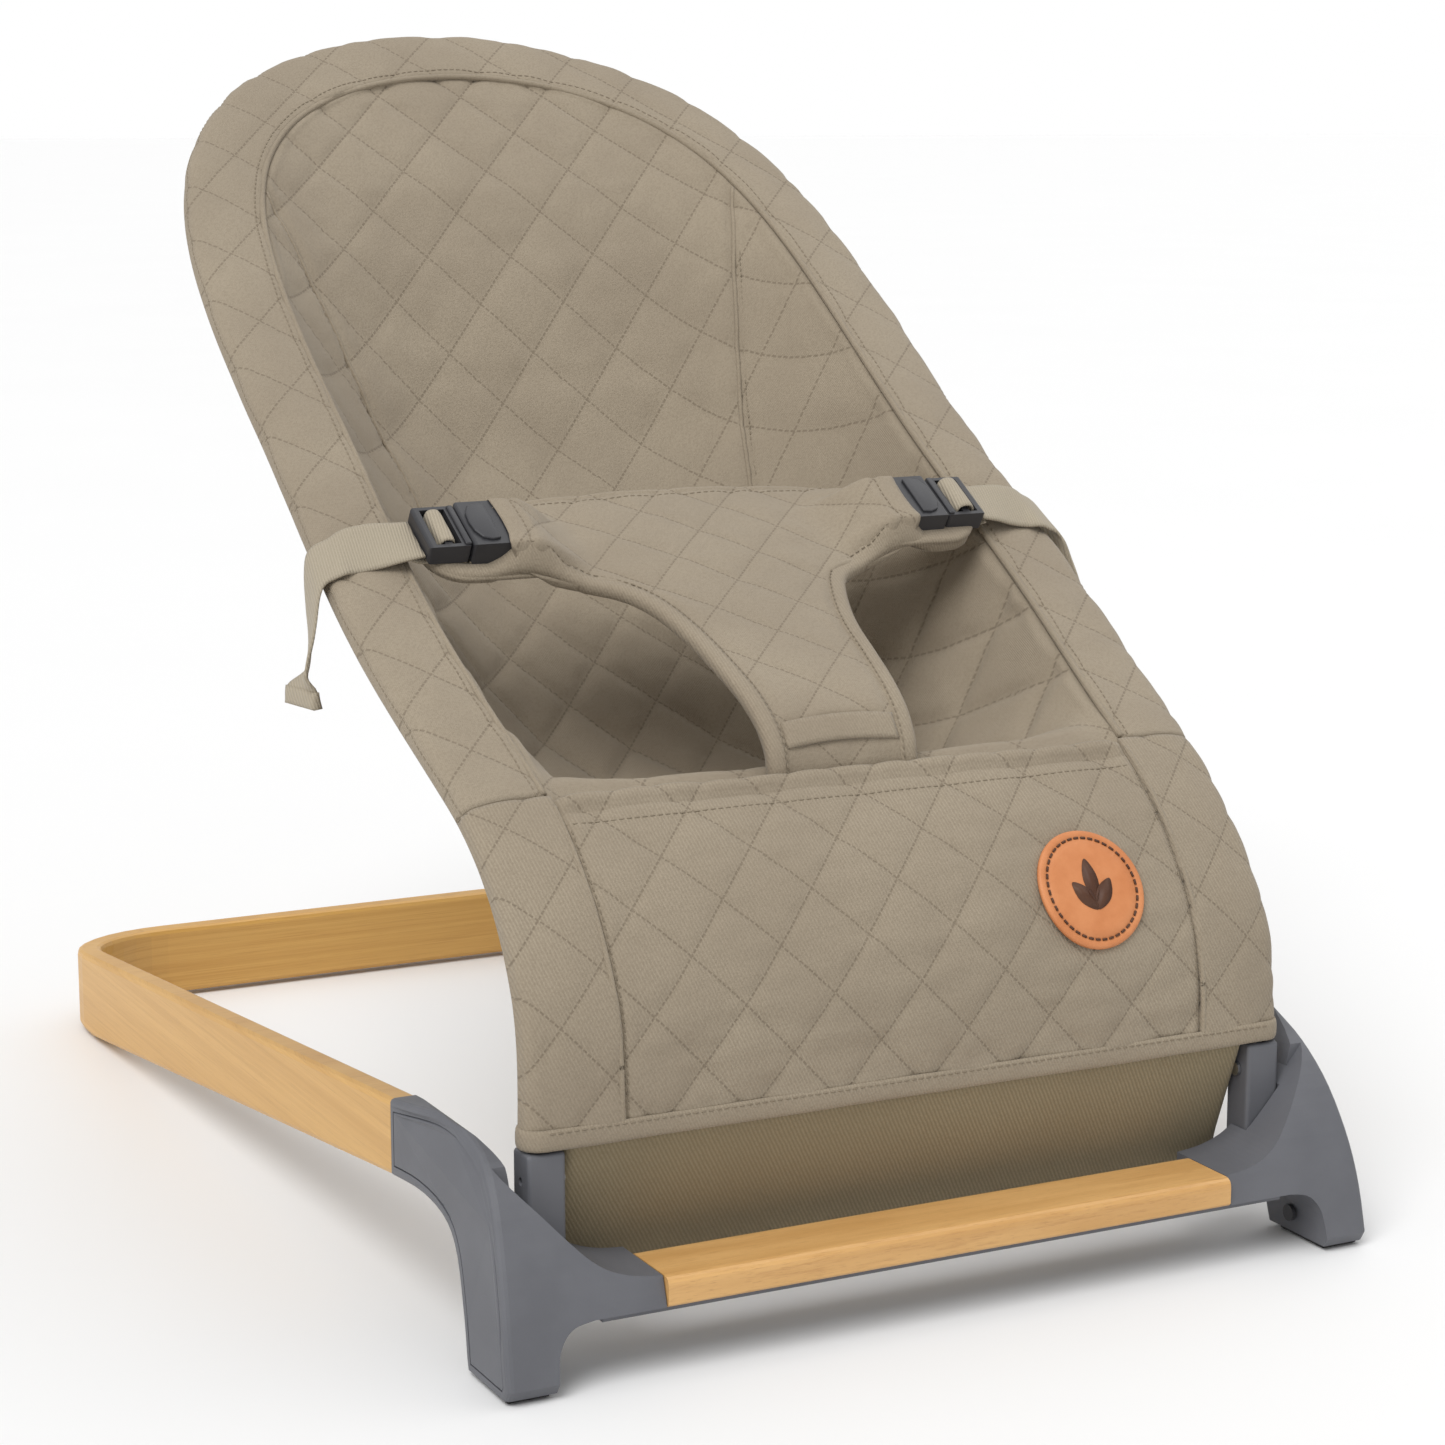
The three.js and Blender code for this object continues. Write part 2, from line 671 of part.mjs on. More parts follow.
// ---- seat ------------------------------------------------------------------------

function seatHoop() {
  const middle = (HUB_IN + HUB_OUT) / 2;
  const right = new THREE.Vector3(1, 0, 0);
  const front = new THREE.Vector3(0, -1, 0);
  const plug = [SOCKET_FLOOR + 0.9, SOCKET_FLOOR + 12, HUB_TOP + 1].map((z) => ({
    at: new THREE.Vector3(middle, PIVOT_Y, z), out: right, up: front, s: 0,
  }));
  const half = [...plug, ...halfStations(4, 22, 12)];
  const ring = ellipse(TUBE_R, TUBE_R, 9);
  let tube = solid(sweep(wholeLoop(half), () => ring));
  for (const side of [-1, 1]) {
    const low = Math.min(side * (HUB_IN - 4), side * (HUB_OUT + 4));
    const high = Math.max(side * (HUB_IN - 4), side * (HUB_OUT + 4));
    const hole = rod(0, [low, PIVOT_Y, RIVET_Z], [high, PIVOT_Y, RIVET_Z], RIVET_R + RUN_GAP, 12);
    tube = tube.subtract(solid(hole));
  }
  return geometryOf(tube);
}

// Padded section: round over the tube, then flat towards the inside.
function padSection(reach, under) {
  const ring = [];
  for (let i = 0; i <= 6; i++) {
    const turn = Math.PI * (i / 6 - 0.5);
    ring.push([PAD_OUT * Math.cos(turn), PAD_TOP * Math.sin(turn)]);
  }
  ring.push([-9, 8], [-0.6 * reach, 8.2], [1.5 - reach, 7.2], [-reach, 4]);
  ring.push([1.5 - reach, 1 + under], [-0.55 * reach, under], [-9, -6]);
  return ring;
}

function seatBorder() {
  const loop = wholeLoop(halfStations(BORDER_FROM, 14, 12));
  const section = padSection(BORDER_WIDTH - EDGE_TO_TUBE, -1.5);
  return sweep(loop, () => section, ellipse(5.8, 5.8, 9));
}

function flapSide() {
  const stations = [];
  for (let i = 0; i <= 12; i++) {
    stations.push(stationAt(FLAP_FROM + (BORDER_FROM - 0.6 - FLAP_FROM) * i / 12));
  }
  return sweep(stations, (station) => padSection(station.at.x - FLAP_HALF - 0.6, -0.5), ellipse(5.8, 5.8, 9));
}

function frontFlap() {
  const rows = [];
  for (let i = 0; i <= 14; i++) {
    const station = stationAt(FLAP_FROM + (BORDER_FROM - 0.6 - FLAP_FROM) * i / 14);
    const row = [];
    for (let k = 0; k <= 12; k++) {
      const point = new THREE.Vector3(FLAP_HALF * (k / 6 - 1), station.at.y, station.at.z);
      row.push(point.addScaledVector(station.up, 7));
    }
    rows.push(row);
  }
  return sheet(rows, -6.5);
}

function flapHem() {
  const front = stationAt(FLAP_FROM);
  const y = front.at.y - 8.4;
  return block([-150, y - 1.6, 86.6], [150, y, 94.6]);
}

const BUCKET_DEPTH = [
  [113, 8], [125, 40], [150, 74], [180, 94], [210, 98], [240, 92], [270, 86], [300, 80], [330, 72],
  [359, 64], [387, 50], [401, 42], [415, 34], [430, 26], [445, 20], [464, 12], [505, 3], [522, 1],
];

function seamPoint(station) {
  const inward = BORDER_WIDTH - EDGE_TO_TUBE + 0.5;
  return station.at.clone().addScaledVector(station.out, -inward).addScaledVector(station.up, 4);
}

function seatBackPanel() {
  const rows = [];
  const half = halfStations(BORDER_FROM + 2, 12, 10);
  for (const station of half) {
    const edge = seamPoint(station);
    if (edge.x < 24) break;
    const depth = along(BUCKET_DEPTH, edge.y);
    const row = [];
    for (let i = 0; i <= 14; i++) {
      const u = i / 7 - 1;
      const drop = depth * (1 - Math.abs(u) ** 3.4);
      const point = new THREE.Vector3(u * edge.x, edge.y, edge.z);
      row.push(point.addScaledVector(station.up, -drop));
    }
    rows.push(row);
  }
  return sheet(rows, BUCKET_THICK);
}

const BIB_ROWS = [
  [100.8, 207.4, 35.2], [101.8, 212.6, 35.2], [104, 220, 35.3], [111.3, 230, 35.9], [124.9, 240, 37],
  [144.9, 250, 39], [167, 260, 41.8], [187.7, 270, 48.5], [202.2, 276, 58], [211, 280, 76],
  [220, 284.5, 95], [234, 291, 95.5], [250, 298, 95.5], [265, 303.5, 94], [277, 308, 90],
];

function bibPanel() {
  const rows = BIB_ROWS.map(([y, z, half]) => {
    const row = [];
    for (let i = 0; i <= 14; i++) {
      const u = i / 7 - 1;
      const fall = 0.0006 * (u * half) ** 2;
      row.push(new THREE.Vector3(u * half, y + fall, z - fall));
    }
    return row;
  });
  return sheet(rows, -BIB_THICK);
}

// Buckle pieces are built flat, x outwards, then set on the tilted line of the strap.
function onStrapLine(geometry) {
  geometry.rotateX(radians(BUCKLE_TILT));
  geometry.translate(0, BUCKLE_AT[0], BUCKLE_AT[1]);
  return geometry;
}

function roundedBar(from, to, halfWide, halfHigh, bevel) {
  const shape = new THREE.Shape();
  shape.moveTo(-halfWide, -halfHigh);
  shape.lineTo(halfWide, -halfHigh);
  shape.lineTo(halfWide, halfHigh);
  shape.lineTo(-halfWide, halfHigh);
  return sideExtrude(shape, from, to, bevel);
}

function buckleFemale() {
  const shell = solid(roundedBar(97, 118, 15, 5.5, 1.5));
  const mouth = solid(block([102, -12, -3], [125, 12, 3]));
  return onStrapLine(geometryOf(shell.subtract(mouth)));
}

function buckleMale() {
  const grip = solid(roundedBar(118.5, 138, 14, 4.5, 1.5));
  const tongue = solid(block([104, -3.5, -2.4], [121, 3.5, 2.4]));
  const prongs = [-1, 1].map((side) => {
    const inner = side * 7;
    const outer = side * 11.4;
    return solid(block([105, Math.min(inner, outer), -2.4], [121, Math.max(inner, outer), 2.4]));
  });
  const slots = [block([123, -12, -9], [127, 12, 9]), block([130.4, -12, -9], [134.4, 12, 9])];
  const frame = grip.subtract(solid(slots[0])).subtract(solid(slots[1]));
  return onStrapLine(geometryOf(frame.add(tongue).add(prongs[0]).add(prongs[1])));
}

function sideStrap() {
  const path = [
    [138.6, -1], [150, -2.5], [160, -5], [168, -6.8], [173, -7.6], [178, -9.8], [182.8, -13],
    [185.2, -19], [186.6, -28], [188, -41], [189, -52], [190, -62],
  ];
  const tilt = radians(BUCKLE_TILT);
  const rows = path.map(([x, h], k) => {
    const row = [];
    const lie = tilt * (1 - ease((k - 5) / 4));
    for (let i = 0; i <= 2; i++) {
      const v = STRAP_WIDTH * (i / 2 - 0.5);
      const y = BUCKLE_AT[0] + v * Math.cos(lie) - h * Math.sin(lie);
      const z = BUCKLE_AT[1] + v * Math.sin(lie) + h * Math.cos(lie);
      row.push(new THREE.Vector3(x, y, z));
    }
    return row;
  });
  return sheet(rows, 1.6);
}

function flapBadge() {
  const disc = new THREE.CylinderGeometry(BADGE_R, BADGE_R, 2.4, 32);
  let s = FLAP_FROM;
  while (stationAt(s).at.z + 8 * stationAt(s).up.z < BADGE_AT[1]) s += 1;
  const station = stationAt(s);
  const turn = new THREE.Quaternion().setFromUnitVectors(new THREE.Vector3(0, 1, 0), station.up);
  disc.applyQuaternion(turn);
  const at = station.at.clone().addScaledVector(station.up, 11);
  disc.translate(BADGE_AT[0], at.y, at.z);
  return disc;
}

function seatParts(group) {
  group.add(named('seat_hoop', seatHoop(), 'steel'));
  group.add(named('seat_border', seatBorder(), 'cloth'));
  bothSides(group, 'flap_side', flapSide(), 'cloth');
  group.add(named('front_flap', frontFlap(), 'cloth'));
  group.add(named('flap_hem', flapHem(), 'cloth'));
  group.add(named('seat_back_panel', seatBackPanel(), 'cloth'));
  group.add(named('bib_panel', bibPanel(), 'cloth'));
  group.add(named('flap_badge', flapBadge(), 'badge'));
  bothSides(group, 'buckle_female', buckleFemale(), 'dark');
  bothSides(group, 'buckle_male', buckleMale(), 'dark');
  bothSides(group, 'side_strap', sideStrap(), 'cloth');
}

const seat = new THREE.Group();
seat.name = 'bouncer_seat';
seat.position.set(0, -ORIGIN_Y, 0);
baseParts(seat);
hubParts(seat);
seatParts(seat);

export default seat;
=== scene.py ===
# Bouncer seat: wood base with moulded feet, and a quilted seat on a tube hoop.
# Lengths in the shape code are millimetres: x across the seat, y back from the
# front crossbar's zero, z up. place() turns them into the model's metres.
import bpy
import bmesh
import math
from collections import namedtuple
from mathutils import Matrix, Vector, noise
from mathutils.bvhtree import BVHTree


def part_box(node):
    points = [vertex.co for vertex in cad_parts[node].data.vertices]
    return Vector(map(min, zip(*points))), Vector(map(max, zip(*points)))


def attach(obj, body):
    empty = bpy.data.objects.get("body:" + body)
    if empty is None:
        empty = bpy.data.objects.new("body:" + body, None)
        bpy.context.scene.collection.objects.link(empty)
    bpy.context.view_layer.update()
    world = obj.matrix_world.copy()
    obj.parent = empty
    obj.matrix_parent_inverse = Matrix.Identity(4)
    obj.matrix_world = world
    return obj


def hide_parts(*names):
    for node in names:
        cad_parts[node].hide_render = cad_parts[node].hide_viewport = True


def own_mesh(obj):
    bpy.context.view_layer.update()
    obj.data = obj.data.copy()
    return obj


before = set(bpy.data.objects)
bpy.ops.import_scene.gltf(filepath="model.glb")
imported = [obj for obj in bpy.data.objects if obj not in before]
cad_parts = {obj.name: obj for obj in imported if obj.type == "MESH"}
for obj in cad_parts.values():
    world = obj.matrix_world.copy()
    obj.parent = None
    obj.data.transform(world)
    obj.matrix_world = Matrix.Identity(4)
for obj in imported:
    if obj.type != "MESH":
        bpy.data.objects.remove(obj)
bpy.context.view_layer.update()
SCENE = bpy.context.scene
MM = 0.001

# The crossbar's front face lies 2.6 mm behind the shape code's zero.
CROSSBAR_FRONT = 2.6
ZERO_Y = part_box("front_crossbar")[0].y - CROSSBAR_FRONT * MM

# ---- camera ------------------------------------------------------------------

CAMERA_AT = (-0.6500, -1.37945, 0.4777)
CAMERA_TURN = (79.4, 0.0, -26.9)
CAMERA_LENS = 81.19

camera_data = bpy.data.cameras.new("camera")
camera_data.lens = CAMERA_LENS
camera_data.sensor_width = 36
camera = bpy.data.objects.new("camera", camera_data)
camera.location = CAMERA_AT
camera.rotation_euler = [math.radians(a) for a in CAMERA_TURN]
SCENE.collection.objects.link(camera)
SCENE.camera = camera
SCENE.view_settings.view_transform = "Standard"

# ---- hoop line, the same curve as the frame's tube -----------------------

LEG_START = (34.46, 88.92)  # y and z of the hoop's lower end
LEG_LENGTH = 153.3
LEG_STEEP = 88.7  # slope in degrees at the lower end
LEG_FLAT = 29.12  # slope at the end of the bend
LEG_CURL = 1.22  # how the bend is spread along the leg
LEG_BACK = (5.5, 60)  # the lower end stands back by this much, fading over this length
HEAD_RISE = 11.56  # degrees gained from the bend to the head
HEAD_START = 383.2  # length at which the sides begin to close
HEAD_ROUND = (3.88, 1.99)  # exponents of the head's outline
HOOP_LENGTH = 687.3
HALF_WIDTHS = ((0, 177.7), (126, 174.7), (253, 181.6), (383.2, 179.3))
EDGE_TO_TUBE = 9.2
BORDER_WIDTH = 37
BORDER_FROM = 139  # length at which the flap ends and the border begins
FLAP_FROM = 0.5
FLAP_HALF = 136
BACK_QUILT = (45, 49)  # a diamond's width and length
FLAP_QUILT = (40, 42)


# A place on the hoop: the tube's centre, the outward and upward directions, and the length along it.
Station = namedtuple("Station", "at out up s")


def place(point):
    """The model's place, in metres, of a point in the shape code's millimetres."""
    return Vector((point[0] * MM, point[1] * MM + ZERO_Y, point[2] * MM))


def word_for(side):
    return "left" if side < 0 else "right"


def ease(t):
    t = min(max(t, 0.0), 1.0)
    return t * t * (3 - 2 * t)


def catmull(a, b, c, d, t):
    """Smooth (Catmull-Rom) step from b to c, of numbers or points."""
    square = (2 * a - 5 * b + 4 * c - d) * t * t
    return 0.5 * (2 * b + (c - a) * t + square + (3 * b - a - 3 * c + d) * t ** 3)


def curve_through(table, value):
    """Smooth reading of a table of (value, result)."""
    last = len(table) - 1
    if value <= table[0][0]:
        return table[0][1]
    if value >= table[last][0]:
        return table[last][1]
    k = 0
    while table[k + 1][0] < value:
        k += 1
    t = (value - table[k][0]) / (table[k + 1][0] - table[k][0])
    return catmull(*(table[min(max(j, 0), last)][1] for j in range(k - 1, k + 3)), t)


def between_rows(rows, t):
    """Smooth reading of a list of rows, each column at place t."""
    return [curve_through(list(enumerate(column)), t) for column in zip(*rows)]


def hoop_slope(s):
    leg = max(1 - s / LEG_LENGTH, 0)
    rise = max((s - LEG_LENGTH) / (HOOP_LENGTH - LEG_LENGTH), 0)
    return math.radians(LEG_FLAT + (LEG_STEEP - LEG_FLAT) * leg ** LEG_CURL + HEAD_RISE * rise)


def hoop_profile():
    points = [LEG_START]
    for s in range(int(HOOP_LENGTH) + 1):
        slope = hoop_slope(s + 0.5)
        y, z = points[-1]
        points.append((y + math.cos(slope), z + math.sin(slope)))
    return points


PROFILE = hoop_profile()


def half_width(s):
    leg = curve_through(HALF_WIDTHS, min(s, HEAD_START))
    u = max((s - HEAD_START) / (HOOP_LENGTH - HEAD_START), 0)
    return leg * max(1 - u ** HEAD_ROUND[0], 0) ** (1 / HEAD_ROUND[1])


def profile_at(s):
    k = min(int(s), len(PROFILE) - 2)
    part = s - k
    y = PROFILE[k][0] + part * (PROFILE[k + 1][0] - PROFILE[k][0])
    z = PROFILE[k][1] + part * (PROFILE[k + 1][1] - PROFILE[k][1])
    return y + LEG_BACK[0] * (1 - ease(s / LEG_BACK[1])), z


def edge_point(s):
    y, z = profile_at(s)
    return Vector((half_width(s), y, z))


def station_at(s):
    """The station at length s along the right side."""
    slope = hoop_slope(s)
    up = Vector((0, -math.sin(slope), math.cos(slope)))
    near = edge_point(max(s - 1.5, 0))
    beyond = min(s + 1.5, HOOP_LENGTH)
    far = edge_point(beyond)
    if beyond == HOOP_LENGTH:
        far.x = -near.x if s >= HOOP_LENGTH else 0
    tangent = (far - near).normalized()
    out = tangent.cross(up).normalized()
    return Station(edge_point(s) - out * EDGE_TO_TUBE, out, up, s)


def side_stations(start, legs, heads):
    """Stations up the right side, with finer ones round the head."""
    lengths = [start + (HEAD_START - start) * i / legs for i in range(legs)]
    for i in range(heads + 1):
        lengths.append(HEAD_START + (HOOP_LENGTH - HEAD_START) * (1 - (1 - i / heads) ** 2))
    return [station_at(s) for s in lengths]


def mirrored(station):
    at, out = station.at, station.out
    return station._replace(at=Vector((-at.x, at.y, at.z)), out=Vector((-out.x, out.y, out.z)))


def beside(station, out, up):
    return station.at + station.out * out + station.up * up


def whole_loop(side):
    """Both sides: the right side as given, then its mirror back down the left."""
    return side + [mirrored(station) for station in reversed(side[:-1])]


# ---- surface detail ----------------------------------------------------------


QUILT_PITCH = 30  # millimetres between neighbouring stitched lines
QUILT_TUCK = 3.0  # how soon the wadding rises beside a stitched line


def wobble(point, size, seed=0.0):
    return noise.noise(Vector(point) / size + Vector((seed, seed * 1.7, -seed)))


def quilt_height(chart, puff):
    """Height of the wadding between the stitched lines of the diamond quilting."""
    for line in (chart[0] + chart[1], chart[0] - chart[1]):
        puff *= 1 - math.exp(-abs(line - round(line)) * QUILT_PITCH / QUILT_TUCK)
    return puff


def groove(distance, depth, width):
    return -depth * math.exp(-(distance / width) ** 2)


def distance_to(line, x, y):
    """Distance from (x, y) to a polyline of (x, y) points."""
    best = 1e9
    for (ax, ay), (bx, by) in zip(line, line[1:]):
        dx, dy = bx - ax, by - ay
        t = min(max(((x - ax) * dx + (y - ay) * dy) / (dx * dx + dy * dy), 0.0), 1.0)
        best = min(best, math.hypot(x - ax - t * dx, y - ay - t * dy))
    return best


# ---- mesh helpers ------------------------------------------------------------


def new_piece(name, mesh):
    mesh.polygons.foreach_set("use_smooth", [True] * len(mesh.polygons))
    piece = bpy.data.objects.new(name, mesh)
    SCENE.collection.objects.link(piece)
    return piece


def mesh_object(name, points, faces, cloth=None):
    """cloth holds one pair per point, in diamonds across and along, for the stitching."""
    mesh = bpy.data.meshes.new(name)
    mesh.from_pydata([place(p) for p in points], [], faces)
    if cloth:
        layer = mesh.uv_layers.new(name="cloth")
        for loop in mesh.loops:
            layer.data[loop.index].uv = cloth[loop.vertex_index]
    mesh.update()
    return new_piece(name, mesh)


def outward(piece):
    work = bmesh.new()
    work.from_mesh(piece.data)
    bmesh.ops.recalc_face_normals(work, faces=work.faces)
    work.to_mesh(piece.data)
    work.free()
    return piece


def grid_faces(rows, columns, wrap=False):
    faces = []
    across = columns if wrap else columns - 1
    for i in range(rows - 1):
        for k in range(across):
            j = (k + 1) % columns
            faces.append((i * columns + k, i * columns + j, (i + 1) * columns + j, (i + 1) * columns + k))
    return faces


def closed_rings(count, sides, start=0):
    """Faces of a tube of rings, closed at both ends, whose points begin at start."""
    faces = grid_faces(count, sides, wrap=True)
    faces += [tuple(range(sides))[::-1], tuple((count - 1) * sides + k for k in range(sides))]
    return [tuple(start + v for v in face) for face in faces]


def row_normals(rows):
    """Unit normals of a grid of points, from its neighbours."""
    normals = []
    for i, row in enumerate(rows):
        before, after = rows[max(i - 1, 0)], rows[min(i + 1, len(rows) - 1)]
        line = []
        for k in range(len(row)):
            across = row[min(k + 1, len(row) - 1)] - row[max(k - 1, 0)]
            normal = across.cross(after[k] - before[k])
            line.append(normal.normalized() if normal.length > 1e-9 else Vector((0, 0, 1)))
        normals.append(line)
    return normals


EDGE_TUCK = {0: 0.5, 1: 0.12}  # how much of its thickness a cloth loses at its outer two rows


def cloth_shell(name, rows, thickness, lift=None, cloth=None):
    """A closed piece of cloth: the rows are its face, thickness is how far its back lies
    behind, lift(i, k) raises the face, and its edges are rounded over."""
    normals = row_normals(rows)
    count, width = len(rows), len(rows[0])
    face, back, uv = [], [], []
    for i in range(count):
        for k in range(width):
            rise = lift(i, k) if lift else 0.0
            thick = thickness(i, k) if callable(thickness) else thickness
            rim = min(i, count - 1 - i, k, width - 1 - k)
            tuck = EDGE_TUCK.get(rim, 0)
            normal = normals[i][k]
            face.append(rows[i][k] + normal * (rise - tuck * thick * 0.5))
            back.append(rows[i][k] - normal * (thick - tuck * thick * 0.5))
            uv.append(cloth[i][k] if cloth else (0, 0))
    size = count * width
    faces = grid_faces(count, width)
    faces += [tuple(size + v for v in reversed(f)) for f in grid_faces(count, width)]
    ring = list(range(width))
    ring += [i * width + width - 1 for i in range(1, count)]
    ring += [(count - 1) * width + k for k in range(width - 2, -1, -1)]
    ring += [i * width for i in range(count - 2, 0, -1)]
    for a, b in zip(ring, ring[1:] + ring[:1]):
        faces.append((b, a, size + a, size + b))
    return outward(mesh_object(name, face + back, faces, uv + uv))


def swept(name, stations, section, cloth=None):
    """Closed tube: section(i, station) gives the (out, up) points round each ring."""
    points, uv = [], []
    width = 0
    for i, station in enumerate(stations):
        ring = section(i, station)
        width = len(ring)
        for out, up in ring:
            points.append(beside(station, out, up))
            uv.append(cloth(points[-1], station) if cloth else (0, 0))
    faces = grid_faces(len(stations), width, wrap=True)
    last = (len(stations) - 1) * width
    for start, turn in ((0, 1), (last, -1)):
        middle = sum((points[start + k] for k in range(width)), Vector()) / width
        points.append(middle)
        uv.append(uv[start])
        faces += [(start + k, start + (k + 1) % width, len(points) - 1)[::turn] for k in range(width)]
    return outward(mesh_object(name, points, faces, uv))


def cord_along(name, points, radius, sides=8, upright=(0, 0, 1)):
    """A round cord through the given points, with its rings turned to the upright direction."""
    count = len(points)
    verts = []
    for i, point in enumerate(points):
        ahead = points[min(i + 1, count - 1)] - points[max(i - 1, 0)]
        ahead.normalize()
        side = ahead.cross(Vector(upright))
        if side.length < 0.1:
            side = ahead.cross(Vector((0, 1, 0)))  # where it runs nearly upright
        side.normalize()
        rise = side.cross(ahead)
        for k in range(sides):
            turn = 2 * math.pi * k / sides
            verts.append(point + side * radius * math.cos(turn) + rise * radius * math.sin(turn))
    return outward(mesh_object(name, verts, closed_rings(count, sides)))


def finish_piece(piece, body, material, *nodes, slot=None):
    """Give a piece its material, its body and the CAD nodes it stands for. The slot is not used."""
    piece.data.materials.clear()
    piece.data.materials.append(material)
    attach(piece, body)
    if nodes:
        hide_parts(*nodes)


# ---- materials ---------------------------------------------------------------


def tint(rgb, shift=(0, 0, 0), shade=1.0):
    """Linear colour of an 0-255 display colour, moved by shift."""
    values = []
    for value, step in zip(rgb, shift):
        c = (value + step) / 255
        values.append(shade * (c / 12.92 if c <= 0.04045 else ((c + 0.055) / 1.055) ** 2.4))
    return (*values, 1.0)


class Paint:
    """Short names for building one node material."""

    def __init__(self, name, roughness, **sockets):
        self.material = bpy.data.materials.new(name)
        self.material.use_nodes = True
        self.tree = self.material.node_tree
        self.shader = self.tree.nodes["Principled BSDF"]
        self.shader.inputs["Roughness"].default_value = roughness
        for socket, value in sockets.items():
            self.shader.inputs[socket.replace("_", " ")].default_value = value

    def node(self, kind, **settings):
        node = self.tree.nodes.new(kind)
        for key, value in settings.items():
            setattr(node, key, value)
        return node

    def link(self, source, target):
        self.tree.links.new(source, target)

    def feed(self, socket, value):
        if isinstance(value, (int, float)):
            socket.default_value = value
        else:
            self.link(value, socket)

    def math(self, operation, a, b=0.0, c=0.0):
        node = self.node("ShaderNodeMath", operation=operation)
        for socket, value in zip(node.inputs, (a, b, c)):
            self.feed(socket, value)
        return node.outputs[0]

    def add(self, a, b):
        return self.math("ADD", a, b)

    def part(self, value, share):
        return self.math("MULTIPLY", value, share)

    def step(self, value, low, high, start=0.0, end=1.0):
        """Smooth change from start to end as the value goes from low to high."""
        node = self.node("ShaderNodeMapRange", interpolation_type="SMOOTHSTEP")
        self.feed(node.inputs["Value"], value)
        for socket, number in (("From Min", low), ("From Max", high), ("To Min", start), ("To Max", end)):
            node.inputs[socket].default_value = number
        return node.outputs[0]

    def mix(self, factor, a, b):
        node = self.node("ShaderNodeMix", data_type="RGBA")
        self.feed(node.inputs[0], factor)
        for socket, value in ((node.inputs[6], a), (node.inputs[7], b)):
            if isinstance(value, tuple):
                socket.default_value = value
            else:
                self.link(value, socket)
        return node.outputs[2]

    def cover(self, colour, mask, share, other):
        """The colour, with a share of the other one where the mask is bright."""
        return self.mix(self.part(mask, share), colour, other)

    def place(self, scale=(1, 1, 1), turn=(0, 0, 0)):
        spot = self.node("ShaderNodeTexCoord")
        fit = self.node("ShaderNodeMapping")
        fit.inputs["Scale"].default_value = scale
        fit.inputs["Rotation"].default_value = turn
        self.link(spot.outputs["Object"], fit.inputs["Vector"])
        return fit.outputs[0]

    def grain(self, scale, detail=4.0, rough=0.55, at=None):
        node = self.node("ShaderNodeTexNoise")
        node.inputs["Scale"].default_value = scale
        node.inputs["Detail"].default_value = detail
        node.inputs["Roughness"].default_value = rough
        self.link(at if at else self.place(), node.inputs["Vector"])
        return node.outputs["Fac"]

    def wave(self, scale, at, distortion=0.0):
        node = self.node("ShaderNodeTexWave")
        node.inputs["Scale"].default_value = scale
        node.inputs["Distortion"].default_value = distortion
        self.link(at, node.inputs["Vector"])
        return node.outputs["Fac"]

    def colour(self, value):
        self.link(value, self.shader.inputs["Base Color"])

    def bump(self, height, strength, distance):
        node = self.node("ShaderNodeBump")
        node.inputs["Strength"].default_value = strength
        node.inputs["Distance"].default_value = distance
        self.link(height, node.inputs["Height"])
        self.link(node.outputs[0], self.shader.inputs["Normal"])


STITCH_PITCH = 2.6  # from one stitch to the next along a quilting line, in millimetres


def quilting_thread(paint):
    """Bright on the stitches along both sets of quilting lines."""
    chart = paint.node("ShaderNodeUVMap", uv_map="cloth")
    parts = paint.node("ShaderNodeSeparateXYZ")
    paint.link(chart.outputs[0], parts.inputs[0])
    lines = [paint.math(way, parts.outputs[0], parts.outputs[1]) for way in ("ADD", "SUBTRACT")]
    marks = []
    for line, other in (lines, lines[::-1]):
        away = paint.part(paint.math("PINGPONG", line, 0.5), QUILT_PITCH)
        run = paint.math("PINGPONG", paint.part(other, QUILT_PITCH / STITCH_PITCH), 0.5)
        marks.append(paint.part(paint.step(away, 0.22, 0.62, 1.0, 0.0), paint.step(run, 0.1, 0.2)))
    return paint.math("MAXIMUM", *marks)


def cloth_paint(name, rgb, quilted=True, weave=420, ribbed=0.22):
    """Cotton twill with melange threads, and the quilting's thread lines."""
    paint = Paint(name, 0.92, Sheen_Weight=0.12, Sheen_Roughness=0.5, Specular_IOR_Level=0.25)
    dark = tint(rgb, (-17, -17, -17), CLOTH_SHADE)
    patchy = paint.step(paint.grain(14, 3), 0.35, 0.7)
    melange = paint.step(paint.grain(900, 2, 0.7), 0.42, 0.66)
    twill = paint.wave(weave, paint.place(turn=(0.1, 0.44, 0.3)), 1.2)
    colour = paint.mix(patchy, tint(rgb, shade=CLOTH_SHADE), tint(rgb, (9, 9, 8), CLOTH_SHADE))
    colour = paint.cover(colour, melange, 0.42, dark)
    colour = paint.cover(colour, twill, ribbed, dark)
    height = paint.add(paint.part(twill, 0.6), paint.part(melange, 0.5))
    if quilted:
        stitch = quilting_thread(paint)
        colour = paint.cover(colour, stitch, 0.52, tint(rgb, (-48, -48, -46), CLOTH_SHADE))
        height = paint.math("SUBTRACT", height, paint.part(stitch, 1.2))
    paint.colour(colour)
    paint.bump(height, 0.35, 0.0006)
    return paint.material


